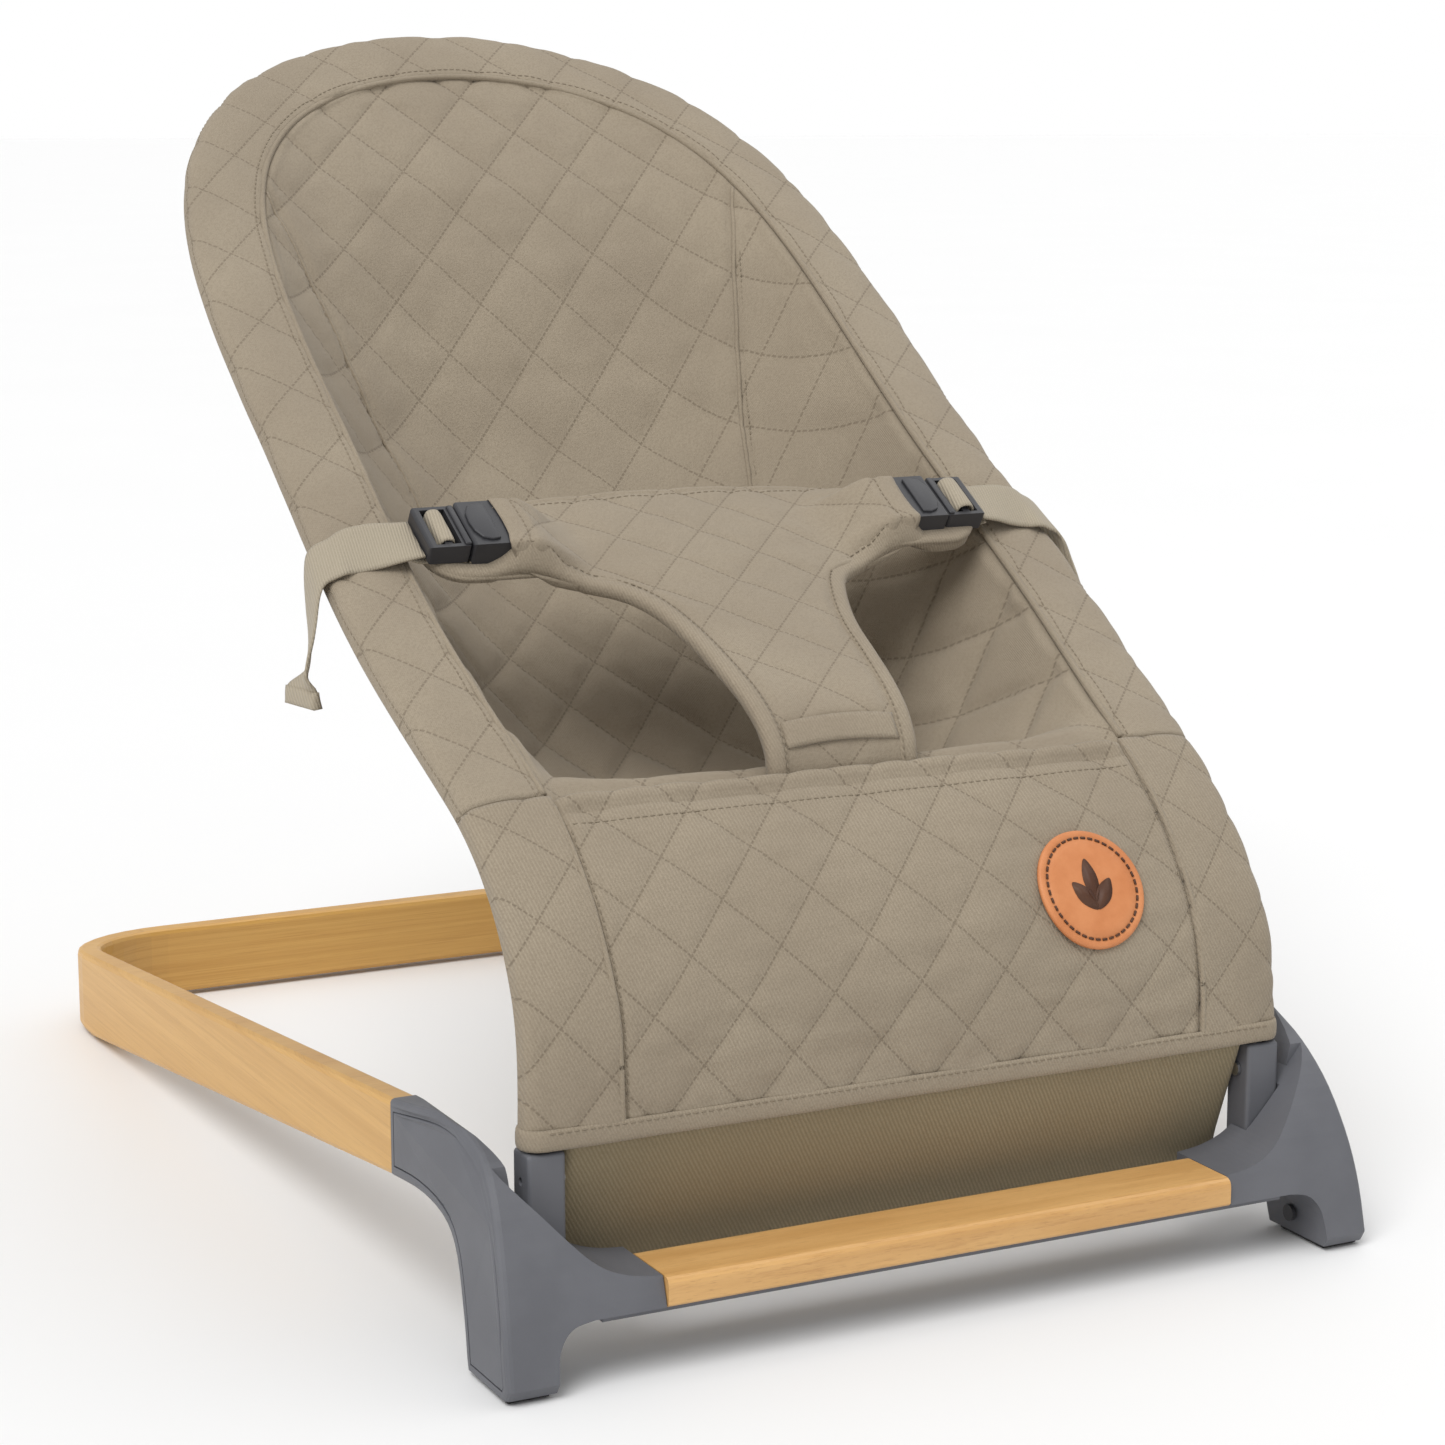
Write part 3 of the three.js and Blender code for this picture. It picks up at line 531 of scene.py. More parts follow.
def webbing_paint(name, rgb):
    """Ribbed webbing with speckled threads."""
    paint = Paint(name, 0.8, Sheen_Weight=0.1, Specular_IOR_Level=0.3)
    ribs = paint.wave(260, paint.place(turn=(0.3, 0.2, 0.4)), 0.4)
    speck = paint.grain(700, 2)
    colour = paint.cover(tint(rgb), ribs, 0.5, tint(rgb, (-26, -26, -26)))
    paint.colour(paint.cover(colour, speck, 0.3, tint(rgb, (-30, -28, -28))))
    paint.bump(paint.add(ribs, speck), 0.5, 0.0005)
    return paint.material


def wood_paint(name, grain_scale, bright, warm):
    """Clear-lacquered beech with fine darker flecks along the grain."""
    paint = Paint(name, 0.42, Coat_Weight=0.18, Coat_Roughness=0.3)
    stretched = paint.place(scale=grain_scale)
    bands = paint.step(paint.grain(9, 5, 0.6, at=stretched), 0.3, 0.72)
    fleck = paint.step(paint.grain(46, 6, 0.65, at=stretched), 0.5, 0.72)
    pores = paint.step(paint.grain(160, 3, 0.6, at=stretched), 0.56, 0.7)
    tone = (bright, bright, -warm)
    colour = paint.mix(bands, tint((212, 166, 110), tone), tint((198, 150, 94), tone))
    colour = paint.cover(colour, fleck, 0.5, tint((182, 132, 78), (0, 0, -warm)))
    colour = paint.cover(colour, pores, 0.3, tint((160, 112, 62), (0, 0, -warm / 2)))
    paint.colour(colour)
    paint.bump(paint.add(fleck, paint.part(pores, 0.6)), 0.12, 0.0004)
    return paint.material


def plastic_paint(name, rgb, roughness):
    """Moulded plastic with a fine spark-eroded grain."""
    paint = Paint(name, roughness, Specular_IOR_Level=0.45)
    fine = paint.grain(1500, 2, 0.6)
    broad = paint.grain(30, 3)
    colour = paint.mix(paint.step(broad, 0.3, 0.7), tint(rgb), tint(rgb, (7, 7, 7)))
    paint.colour(paint.cover(colour, fine, 0.3, tint(rgb, (-10, -10, -10))))
    paint.bump(fine, 0.18, 0.0003)
    return paint.material


def metal_paint(name, rgb):
    """Drawn steel with faint lines across."""
    paint = Paint(name, 0.32, Metallic=1.0)
    lines = paint.grain(600, 2, at=paint.place(scale=(0.1, 1, 1)))
    paint.colour(paint.mix(lines, tint(rgb), tint(rgb, (-22, -22, -20))))
    paint.bump(lines, 0.1, 0.0002)
    return paint.material


def leather_paint(name, rgb):
    """Pressed leather, clouded and finely grained."""
    paint = Paint(name, 0.55, Specular_IOR_Level=0.4)
    grain = paint.grain(420, 5, 0.7)
    cloud = paint.grain(60, 3)
    colour = paint.mix(paint.step(cloud, 0.3, 0.7), tint(rgb), tint(rgb, (-14, -16, -16)))
    paint.colour(paint.cover(colour, grain, 0.35, tint(rgb, (-34, -34, -28))))
    paint.bump(grain, 0.35, 0.0004)
    return paint.material


CLOTH_RGB = (160, 147, 128)
CLOTH_SHADE = 0.88

CLOTH = cloth_paint("quilted cloth", CLOTH_RGB)
FLAP = cloth_paint("flap cloth", CLOTH_RGB, weave=230, ribbed=0.5)
PLAIN = cloth_paint("plain cloth", (158, 145, 126), quilted=False)
TAPE = cloth_paint("tape", CLOTH_RGB, quilted=False, weave=260, ribbed=0.45)
TWILL = cloth_paint("apron twill", (154, 141, 114), quilted=False, weave=200, ribbed=0.9)
WEBBING = webbing_paint("webbing", (174, 163, 144))
THREAD = plastic_paint("thread", (132, 120, 102), 0.8)
WOOD_BAR = wood_paint("beech bar", (1.2, 14, 14), 3, 3)
WOOD_RAIL = wood_paint("beech rail", (0.3, 0.3, 26), -1, 20)
GREY = plastic_paint("grey plastic", (96, 97, 102), 0.5)
BLACK = plastic_paint("black plastic", (52, 52, 55), 0.38)
RUBBER = plastic_paint("rubber", (40, 40, 41), 0.85)
STEEL = metal_paint("steel", (196, 197, 199))
LEATHER = leather_paint("leather", (214, 142, 92))
BURNT = leather_paint("burnt leather", (92, 60, 40))


# ---- frame pieces that keep their shape --------------------------------------

KEPT = {
    "front_crossbar": WOOD_BAR, "rear_rail": WOOD_RAIL, "crossbar_underplate": GREY,
    "foot_shell": GREY, "foot_cover": GREY, "foot_pad": RUBBER, "rear_pad": RUBBER,
    "foot_screw": BLACK, "pivot_pin": STEEL, "hub": GREY, "hub_rivet": STEEL,
    "lock_button": BLACK, "hub_cross_tube": STEEL, "seat_hoop": STEEL,
    "buckle_female": BLACK, "buckle_male": BLACK,
}
for name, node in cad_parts.items():
    kind = name.replace("left_", "").replace("right_", "")
    if kind in KEPT:
        node.data.materials.clear()
        node.data.materials.append(KEPT[kind])

# ---- springs behind the lock buttons -----------------------------------------

COIL_TURNS = 4
COIL_STEPS = 20
COIL_WIRE = 0.45  # the wire's radius


def lock_coil(word):
    """Compression coil behind the lock button, wound to fill the lock spring's box."""
    low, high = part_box(f"{word}_lock_spring")
    middle = (low + high) / 2
    radius = (high.z - low.z) / MM / 2 - COIL_WIRE
    start = (low.y - ZERO_Y) / MM + COIL_WIRE
    travel = (high.y - low.y) / MM - 2 * COIL_WIRE
    points = []
    for k in range(COIL_TURNS * COIL_STEPS + 1):
        turn = 2 * math.pi * k / COIL_STEPS
        across = middle.x / MM + radius * math.cos(turn)
        forward = start + travel * k / (COIL_TURNS * COIL_STEPS)
        points.append(Vector((across, forward, middle.z / MM + radius * math.sin(turn))))
    coil = cord_along(f"{word}_lock_coil", points, COIL_WIRE, upright=(0, 1, 0))
    finish_piece(coil, "hub_frame", STEEL, f"{word}_lock_spring", slot="steel")
    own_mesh(coil)


lock_coil("left")
lock_coil("right")

# ---- border ------------------------------------------------------------------

PAD_OUT = 8.2  # the padding round the tube: how far out, and how high
PAD_TOP = 6.9
EDGE_SEAM = (8.1, 1.2)  # out and up
BORDER_PUFF = 1.2


def pad_ring(reach, under, count):
    """The padded section round the tube, as evenly spaced (out, up) points."""
    corner = []
    for i in range(7):
        turn = math.pi * (i / 6 - 0.5)
        corner.append((PAD_OUT * math.cos(turn), PAD_TOP * math.sin(turn)))
    corner += [(-9, 8), (-0.6 * reach, 8.2), (0.8 - reach, 8.0), (-reach - 0.3, 6.4)]
    corner += [(1.5 - reach, 1 + under), (-0.55 * reach, under), (-9, -6)]
    fine = []
    size = len(corner)
    for k in range(size):
        four = [Vector(corner[(k + j - 1) % size]) for j in range(4)]
        fine += [catmull(*four, part / 8) for part in range(8)]
    steps = [(fine[(k + 1) % len(fine)] - fine[k]).length for k in range(len(fine))]
    total = sum(steps)
    ring, done, k = [], 0.0, 0
    for i in range(count):
        target = total * i / count
        while done + steps[k] < target:
            done += steps[k]
            k += 1
        t = (target - done) / steps[k]
        ring.append(fine[k].lerp(fine[(k + 1) % len(fine)], t))
    return ring


def chart_with(quilt):
    """Where a point near a hoop station lies in the quilting, in diamonds."""
    def chart_of(point, station):
        slope = hoop_slope(station.s)
        ahead = Vector((0, math.cos(slope), math.sin(slope)))
        s = station.s - ahead.dot(station.out) * EDGE_TO_TUBE + ahead.dot(point - station.at)
        return (point.x / quilt[0], s / quilt[1])
    return chart_of


back_chart = chart_with(BACK_QUILT)
flap_chart = chart_with(FLAP_QUILT)


def padded_section(rings, puff, chart_of):
    """The section of a padded tube, quilted on its face, with the edge seam drawn in."""
    def section(i, station):
        ring = rings[i]
        points = []
        for k, (out, up) in enumerate(ring):
            ahead, behind = ring[(k + 1) % len(ring)], ring[k - 1]
            normal = Vector((ahead[1] - behind[1], behind[0] - ahead[0])).normalized()
            spot = beside(station, out, up)
            quilt = quilt_height(chart_of(spot, station), puff) - 0.6 * puff
            rise = ease((up + 3) / 6) * (quilt + 0.7 * wobble(spot, 26, 3.0) + 0.3 * wobble(spot, 9, 4.0))
            rise += groove(math.hypot(out - EDGE_SEAM[0], up - EDGE_SEAM[1]), 0.9, 1.1)
            points.append((out + normal.x * rise, up + normal.y * rise))
        return points
    return section


border_loop = whole_loop(side_stations(BORDER_FROM, 100, 90))
border_ring = pad_ring(BORDER_WIDTH - EDGE_TO_TUBE, -1.5, 46)
border_section = padded_section([border_ring] * len(border_loop), BORDER_PUFF, back_chart)
border = swept("border_cover", border_loop, border_section, cloth=back_chart)
finish_piece(border, "seat", CLOTH, "seat_border", slot="quilted_cloth")

# ---- seat back and bucket ----------------------------------------------------

# How deep the bucket is, by distance back from the front.
BUCKET_DEPTH = (
    (100, 4), (107, 5), (113, 8), (125, 40), (150, 74), (180, 94), (210, 98),
    (240, 92), (270, 86), (300, 80), (330, 72), (359, 64), (387, 50), (401, 42),
    (415, 34), (430, 26), (445, 20), (464, 12), (505, 3), (522, 1),
)
BUCKET_THICK = 6
BUCKET_SQUARE = 3.4  # how flat the bucket's bottom is across
BACK_EDGE_UP = 5.6
BACK_COLUMNS = 130
BACK_EVEN = 0.45  # share of even spacing in the columns, the rest crowds them to the sides
DART_FROM = 270
DART = (
    (80, 332, 262), (88.5, 359.5, 300), (92.3, 370.7, 320), (98, 386.7, 340), (103.4, 401.2, 360),
    (109, 415.5, 380), (114.9, 429.9, 400), (121.6, 445.4, 420), (127.2, 456, 440),
)


def back_point(station, u):
    """Point of the seat's face, u from -1 to 1 across it, at a hoop station."""
    edge = beside(station, EDGE_TO_TUBE - BORDER_WIDTH - 0.3, BACK_EDGE_UP)
    drop = curve_through(BUCKET_DEPTH, edge.y) * (1 - abs(u) ** BUCKET_SQUARE)
    return Vector((u * edge.x, edge.y, edge.z)) - station.up * drop


def back_panel():
    """Quilted back and bucket, from under the flap's edge to where its sides meet at the head."""
    rows, cloth = [], []
    for station in side_stations(BORDER_FROM - 4, 107, 110):
        if back_point(station, 1).x < 3:  # the sides have met
            break
        row = []
        for k in range(BACK_COLUMNS + 1):
            t = 2 * k / BACK_COLUMNS - 1
            row.append(back_point(station, BACK_EVEN * t + (1 - BACK_EVEN) * math.sin(math.pi / 2 * t)))
        rows.append(row)
        cloth.append([back_chart(point, station) for point in row])

    def lift(i, k):
        point = rows[i][k]
        side = rows[i][0] if k < BACK_COLUMNS / 2 else rows[i][-1]
        rim = (point - side).length
        top = 2.3 * (len(rows) - 1 - i)
        puff = 1.7 + 2.5 * (1 - ease((point.y - 230) / 130))
        rise = quilt_height(cloth[i][k], puff) + 0.8 * wobble(point, 30, 1.0) + 0.35 * wobble(point, 9, 2.0)
        if point.y > DART_FROM:
            rise += groove(distance_to([p[:2] for p in DART], abs(point.x), point.y), 2.0, 2.6)
        rise *= ease(rim / 6) * ease((i - 1) / 18)
        return rise + 1.5 * (1 - ease(rim / 9)) * ease((top + 4) / 10) - 0.8 * math.exp(-rim / 1.2)
    return cloth_shell("back_cover", rows, BUCKET_THICK, lift, cloth)


back = back_panel()
finish_piece(back, "seat", CLOTH, "seat_back_panel", slot="quilted_cloth")

# ---- flap --------------------------------------------------------------------

FLAP_ROWS = 72
FLAP_COLUMNS = 136
FLAP_FACE = 7  # height of its face above the tube's centre
FLAP_THICK = 6.5
FLAP_END = BORDER_FROM - 0.6
FLAP_ROLL = 136.5  # length at which the upper edge rolls over
FLAP_SEAM = 130.5  # length of the seam below that edge
WING_ROWS = 66
WING_LAP = 0.9  # how far the side panels reach under the flap


def front_flap():
    rows, cloth = [], []
    for i in range(FLAP_ROWS + 1):
        s = FLAP_FROM + (FLAP_END - FLAP_FROM) * i / FLAP_ROWS
        station = station_at(s)
        across = [FLAP_HALF * (2 * k / FLAP_COLUMNS - 1) for k in range(FLAP_COLUMNS + 1)]
        rows.append([Vector((x, station.at.y, station.at.z)) + station.up * FLAP_FACE for x in across])
        cloth.append([(x / FLAP_QUILT[0], s / FLAP_QUILT[1]) for x in across])

    def lift(i, k):
        point = rows[i][k]
        s = cloth[i][k][1] * FLAP_QUILT[1]
        side = min(k, FLAP_COLUMNS - k)
        rise = quilt_height(cloth[i][k], 1.4) + 1.0 * wobble(point, 34, 5.0)
        rise += 0.9 * wobble((point.x / 3, point.y, point.z), 8, 8.0)
        rise += 2.8 * math.exp(-((s - FLAP_ROLL) / 4) ** 2)
        rise += groove(s - FLAP_SEAM, 1.6, 1.1)
        return rise * ease(side / 3) - 0.3 * math.exp(-side * 1.1)
    return cloth_shell("flap_cover", rows, FLAP_THICK, lift, cloth)


flap = front_flap()
finish_piece(flap, "seat", FLAP, "front_flap", slot="quilted_cloth")


def flap_side(side):
    """Padded panel beside the flap, round the hoop's leg."""
    word = word_for(side)
    stations = [station_at(FLAP_FROM + (FLAP_END - FLAP_FROM) * i / WING_ROWS) for i in range(WING_ROWS + 1)]
    rings = [pad_ring(station.at.x - FLAP_HALF + WING_LAP, -0.5, 52) for station in stations]
    if side < 0:
        stations = [mirrored(station) for station in stations]
    piece = swept(f"{word}_flap_wing", stations, padded_section(rings, 1.0, flap_chart), cloth=flap_chart)
    finish_piece(piece, "seat", FLAP, f"{word}_flap_side", slot="quilted_cloth")


flap_side(-1)
flap_side(1)

HEM_LOW = 86.2
HEM_HEIGHT = 8.6
HEM_ROUND = (8.9, 8.6)  # its reach round the leg's centre, sideways and forwards
HEM_WRAP = math.radians(125)  # how far it goes round each leg
HEM_THICK = 1.8


def hem_band():
    """Folded hem along the flap's lower edge, wrapped round the legs at both ends."""
    leg = station_at(FLAP_FROM).at
    turns = [HEM_WRAP * k / 14 for k in range(15)]
    bend = [(leg.x + HEM_ROUND[0] * math.sin(t), leg.y - HEM_ROUND[1] * math.cos(t)) for t in turns]
    path = [(-x, y) for x, y in reversed(bend)]
    path += [(-leg.x + 2 * leg.x * k / 60, leg.y - HEM_ROUND[1]) for k in range(1, 60)]
    path += bend
    rows = []
    for j in range(9):
        bulge = 0.25 * math.sin(math.pi * j / 8)
        row = []
        for x, y in path:
            lean = Vector((x, y, 0)) - Vector((math.copysign(min(abs(x), leg.x), x), leg.y, 0))
            z = HEM_LOW + HEM_HEIGHT * j / 8 + 0.5 * wobble((x, 0, 0), 30, 2.0)
            row.append(Vector((x, y, z)) + lean.normalized() * bulge)
        rows.append(row)
    return cloth_shell("hem_band", rows, HEM_THICK)


hem = hem_band()
finish_piece(hem, "seat", TAPE, "flap_hem", slot="webbing")

# ---- apron -------------------------------------------------------------------

APRON_HALF = 159.3
APRON_CORNER = 9
APRON_TOP = 88
APRON_FOOT = 29.0
APRON_FRONT = 35  # y of its upper part, which hangs straight down
APRON_BEND = 84.5  # below this height it slopes back
APRON_SLOPE = 0.384
APRON_RETURN = ((0, 14), (0, 9), (0, 5), (0.6, 2.2), (2.2, 0.6), (5, 0))  # in from its edge, and back
APRON_ROWS = 44
APRON_COLUMNS = 100
APRON_THICK = 1.6


def apron():
    """Front of the apron with both edges turned back beside the hubs."""
    rows = []
    for i in range(APRON_ROWS + 1):
        z = APRON_FOOT + (APRON_TOP - APRON_FOOT) * i / APRON_ROWS
        low = max(APRON_FOOT + APRON_CORNER - z, 0) / APRON_CORNER
        half = APRON_HALF - APRON_CORNER * (1 - math.sqrt(max(1 - low * low, 0)))
        front = APRON_FRONT + max(APRON_BEND - z, 0) * APRON_SLOPE
        deep = max(math.sqrt(min((z - APRON_FOOT) / 14, 1)), 0.2)
        side = [(half - inward, front + back * deep) for inward, back in APRON_RETURN]
        flat = side[-1][0]
        row = [Vector((-x, y, z)) for x, y in side]
        row += [Vector((flat * (2 * k / APRON_COLUMNS - 1), front, z)) for k in range(1, APRON_COLUMNS)]
        row += [Vector((x, y, z)) for x, y in reversed(side)]
        rows.append(row)

    def lift(i, k):
        inward = APRON_HALF - abs(rows[i][k].x)
        return groove(inward - 9, 0.5, 0.9) + 0.8 * wobble(rows[i][k], 45, 6.0) * ease(inward / 30)
    return cloth_shell("apron_cloth", rows, APRON_THICK, lift)


skirt = apron()
finish_piece(skirt, "hub_frame", TWILL, "front_apron", slot="apron_twill")

# ---- bib ---------------------------------------------------------------------

# The bib's middle line as y and z, with its half width.
BIB_ROWS = (
    (100.8, 207.4, 35.2), (101.8, 212.6, 35.2), (104, 220, 35.3), (111.3, 230, 35.9), (124.9, 240, 37),
    (144.9, 250, 39), (167, 260, 41.8), (187.7, 270, 48.5), (202.2, 276, 58), (210, 280, 76),
    (216, 283, 94), (221, 285, 101.5), (228, 288.2, 100.6), (236, 291.8, 100.2), (244, 295.3, 100.6),
    (251, 298.3, 101.2), (257, 300.6, 99.5), (264, 303.2, 96), (271, 305.7, 92), (277, 308, 89),
)
BIB_STEPS = 8  # rows of mesh to each row of the table
BIB_COLUMNS = 120
BIB_SAG = 0.0006  # fall for each square millimetre out
BIB_THICK = 4.6
BIB_FOLDED = 3.8  # how much thinner it is beside the buckle
BUCKLE_AT = (232, 299)  # y and z of the line through both buckles
BUCKLE_TILT = math.radians(31)
STRAP_UP = Vector((0, -math.sin(BUCKLE_TILT), math.cos(BUCKLE_TILT)))
TAPE_LEVEL = -6.4  # height of the bib's tongue, measured from the buckle's line
TAPE_WIDTH = 9
POCKET_TOP = 6.6
POCKET_HALF = 14.5  # half of its flat top across, then the slope beside it
POCKET_SLOPE = 9
POCKET_FROM = 56  # x where the bib starts to rise to the pocket, and over what distance
POCKET_RAMP = 38
POCKET_SEAM = (216, 262)  # the stretch in y along which the pocket is sewn
SEAM_IN = 9.5  # from the bib's edge to the pocket's seam


def on_strap(x, across, high, lie=1.0):
    """Point on the buckle's tilted line: x outwards, across the strap, high above it."""
    turn = BUCKLE_TILT * lie
    y = BUCKLE_AT[0] + across * math.cos(turn) - high * math.sin(turn)
    z = BUCKLE_AT[1] + across * math.sin(turn) + high * math.cos(turn)
    return Vector((x, y, z))


def across_strap(y, z):
    return (y - BUCKLE_AT[0]) * math.cos(BUCKLE_TILT) + (z - BUCKLE_AT[1]) * math.sin(BUCKLE_TILT)


def pocket_level(across, over=1.0):
    """Height of the bib where it is drawn up over the buckle, by its distance across."""
    share = 1 - ease((abs(across) - POCKET_HALF) / POCKET_SLOPE)
    return TAPE_LEVEL + (POCKET_TOP - TAPE_LEVEL) * share * over


def pocket_share(x):
    return ease((abs(x) - POCKET_FROM) / POCKET_RAMP)


def bib_row(t):
    return between_rows(BIB_ROWS, t)


def bib_point(t, x):
    """The bib's face: nearly flat, and drawn up over the inner end of each buckle."""
    y, z, _ = bib_row(t)
    fall = BIB_SAG * x * x
    across = across_strap(y, z)
    drawn = on_strap(x, across, pocket_level(across))
    share = pocket_share(x) * (1 - ease((abs(across) - 20) / 24))
    return Vector((x, y + fall, z - fall)).lerp(drawn, share)


def bib_panel():
    rows, cloth = [], []
    count = (len(BIB_ROWS) - 1) * BIB_STEPS
    middle = BIB_COLUMNS // 2
    travelled = 0.0
    for i in range(count + 1):
        t = i / BIB_STEPS
        half = bib_row(t)[2]
        row = [bib_point(t, half * (k / middle - 1)) for k in range(BIB_COLUMNS + 1)]
        if rows:
            travelled += (row[middle] - rows[-1][middle]).length
        rows.append(row)
        cloth.append([(point.x / FLAP_QUILT[0], travelled / FLAP_QUILT[1]) for point in row])

    def lift(i, k):
        point = rows[i][k]
        y, _, half = bib_row(i / BIB_STEPS)
        quilted = ease((cloth[i][k][1] * FLAP_QUILT[1] - 24) / 3)
        rim = min(k, BIB_COLUMNS - k) * half / middle
        top = (count - i) * 1.5
        rise = quilted * quilt_height(cloth[i][k], 1.3)
        rise += 0.7 * wobble(point, 24, 9.0) + 0.35 * wobble(point, 9, 1.0)
        rise = rise * ease((rim - 8) / 6) * ease(top / 6) + groove(top - 9, 0.7, 1.2)
        return rise + (groove(rim - SEAM_IN, 0.8, 1.3) if POCKET_SEAM[0] < y < POCKET_SEAM[1] else 0)

    def thick(i, k):
        near = 1 - ease((abs(bib_row(i / BIB_STEPS)[0] - 236) - 22) / 8)
        return BIB_THICK - BIB_FOLDED * ease((abs(rows[i][k].x) - 80) / 12) * near
    return cloth_shell("bib_cover", rows, thick, lift, cloth)


bib = bib_panel()
finish_piece(bib, "seat", CLOTH, "bib_panel", slot="quilted_cloth")


def flat_tape(name, inner, outer, proud, behind, columns=8):
    """Tape between two lines of points, standing proud of the cloth and folded behind it."""
    rows = [[a.lerp(b, k / (columns - 1)) for k in range(columns)] for a, b in zip(inner, outer)]

    def lift(i, k):
        return proud + 0.5 * math.sin(math.pi * k / (columns - 1))
    return cloth_shell(name, rows, proud + behind, lift)


TONGUE_LOW = -22  # its lower edge, across the strap
TONGUE_TIP = 137  # x of its end
TONGUE_ROUND = 19.5  # radius of its end
TONGUE_MIDDLE = TONGUE_LOW + TONGUE_ROUND
BIB_SIDE = 9 * BIB_STEPS  # steps of the bib's edge below its tongue


def tongue_point(side, x, across):
    """Point of the bib's end: high beside the pocket, then flat under the buckle."""
    over = pocket_share(x) * (1 - ease((x - 99) / 8))
    return on_strap(side * x, across, pocket_level(across, over))


def bib_edge(side):
    """The bib's bound edge, from the crotch up and out to the tip under the buckle."""
    edge = [bib_point(i / BIB_STEPS, side * bib_row(i / BIB_STEPS)[2]) for i in range(BIB_SIDE + 1)]
    edge += [tongue_point(side, x, TONGUE_LOW) for x in range(86, 117, 6)]
    for k in range(1, 18):
        turn = math.radians(10 * k)
        x = TONGUE_TIP - TONGUE_ROUND + TONGUE_ROUND * math.sin(turn)
        edge.append(tongue_point(side, x, TONGUE_MIDDLE - TONGUE_ROUND * math.cos(turn)))
    edge += [tongue_point(side, x, TONGUE_MIDDLE + TONGUE_ROUND) for x in (112, 106, 100)]
    for _ in range(3):
        middle = [(a + 2 * b + c) / 4 for a, b, c in zip(edge, edge[1:], edge[2:])]
        edge = [edge[0], *middle, edge[-1]]
    return edge


def bib_tape(side):
    """Binding along the bib's edge. Gives the line that its stitches follow."""
    edge = bib_edge(side)
    inner, stitched = [], []
    for i, point in enumerate(edge):
        run = (edge[min(i + 1, len(edge) - 1)] - edge[max(i - 1, 0)]).normalized()
        on_tongue = i > BIB_SIDE
        face = STRAP_UP
        if not on_tongue and math.hypot(run.y, run.z) > 0.2:
            face = Vector((0, -run.z, run.y)).normalized()
        inward = face.cross(run).normalized() * side
        if not on_tongue and inward.x * side > 0:
            inward = -inward
        within = point + inward * TAPE_WIDTH
        if on_tongue:
            within = tongue_point(side, abs(within.x), across_strap(within.y, within.z))
        inner.append(within)
        stitched.append((point.lerp(within, 0.82) + face * 1.6, face))
    pair = (inner, edge) if side > 0 else (edge, inner)
    tape = flat_tape(f"{word_for(side)}_bib_tape", *pair, 1.0, 4.4)
    finish_piece(tape, "seat", TAPE, slot="webbing")
    return stitched


bib_stitching = {side: bib_tape(side) for side in (-1, 1)}

BAND_ROWS = (1.86, 2.86)  # the bib's rows at the band's lower and upper edge
BAND_HALF = 26.4
BAND_SAG = 1.6


def crotch_band():
    """Tape sewn across the foot of the bib, above its plain tab."""
    edges = [[], []]
    for k in range(33):
        x = BAND_HALF * (k / 16 - 1)
        sag = Vector((0, 0, BAND_SAG * (1 - (x / BAND_HALF) ** 2)))
        for edge, t in zip(edges, BAND_ROWS):
            edge.append(bib_point(t, x) + sag)
    finish_piece(flat_tape("bib_crotch_band", *edges, 1.0, 0.4, columns=7), "seat", TAPE, slot="webbing")


crotch_band()

# ---- buckles and straps ------------------------------------------------------

STRAP_WIDTH = 24
# Half outlines of the female half's thumb plate and of the male half's shoulder, out and across.
CAP_HALF = ((105, 12), (109, 12.6), (113, 11), (115.4, 6), (116, 0))
SHOULDER_HALF = ((118.8, 13.4), (121.6, 13.4))
# Webbing wound on the male half's bars, out and up.
WOUND = (
    (125, -4.6), (125, 0), (125.4, 4.4), (127.2, 6.0), (130.2, 6.0), (132.1, 4.4), (132.6, 0),
    (132.9, -3.6), (134.8, -5.6), (138.4, -6.0), (143, -4.6),
)
WOUND_WIDTH = 21
# The strap from the bar over the border and down, out and up.
STRAP_PATH = (
    (138.6, -1), (150, -2.5), (160, -5), (168, -6.8), (173, -7.6), (178, -9.8), (182.8, -13),
    (185.2, -19), (186.8, -30), (188.6, -43), (190.6, -55), (192.6, -62), (192.2, -69.5),
)
STRAP_TURN = ((0, 0), (6, 0), (8, 10), (10, 22), (11, -10))  # turn in degrees, by the point of the path
STRAP_THICK = 1.6


def slab(name, side, half, low, high, bevel):
    """A rounded plate on the buckle's line, from half of its outline."""
    outline = [(x, -a) for x, a in half] + [(x, a) for x, a in reversed(half) if a]
    work = bmesh.new()
    ring = [work.verts.new(place(on_strap(side * x, a, low))) for x, a in outline]
    base = work.faces.new(ring)
    top = bmesh.ops.extrude_face_region(work, geom=[base])["geom"]
    rise = on_strap(0, 0, high) - on_strap(0, 0, low)
    bmesh.ops.translate(work, verts=[g for g in top if isinstance(g, bmesh.types.BMVert)], vec=rise * MM)
    bmesh.ops.recalc_face_normals(work, faces=work.faces)
    bmesh.ops.bevel(work, geom=list(work.edges), offset=bevel * MM, segments=3, profile=0.5, affect="EDGES")
    mesh = bpy.data.meshes.new(name)
    work.to_mesh(mesh)
    work.free()
    return new_piece(name, mesh)


def strap_rows(side, path, width):
    """Rows across a strap: x outwards, height, how far it lies in the strap's plane, and its turn."""
    rows = []
    for x, high, lie, turn in path:
        line = [width * (k / 12 - 0.5) for k in range(13)]
        rows.append([on_strap(side * (x - a * math.sin(turn)), a * math.cos(turn), high, lie) for a in line])
    return rows


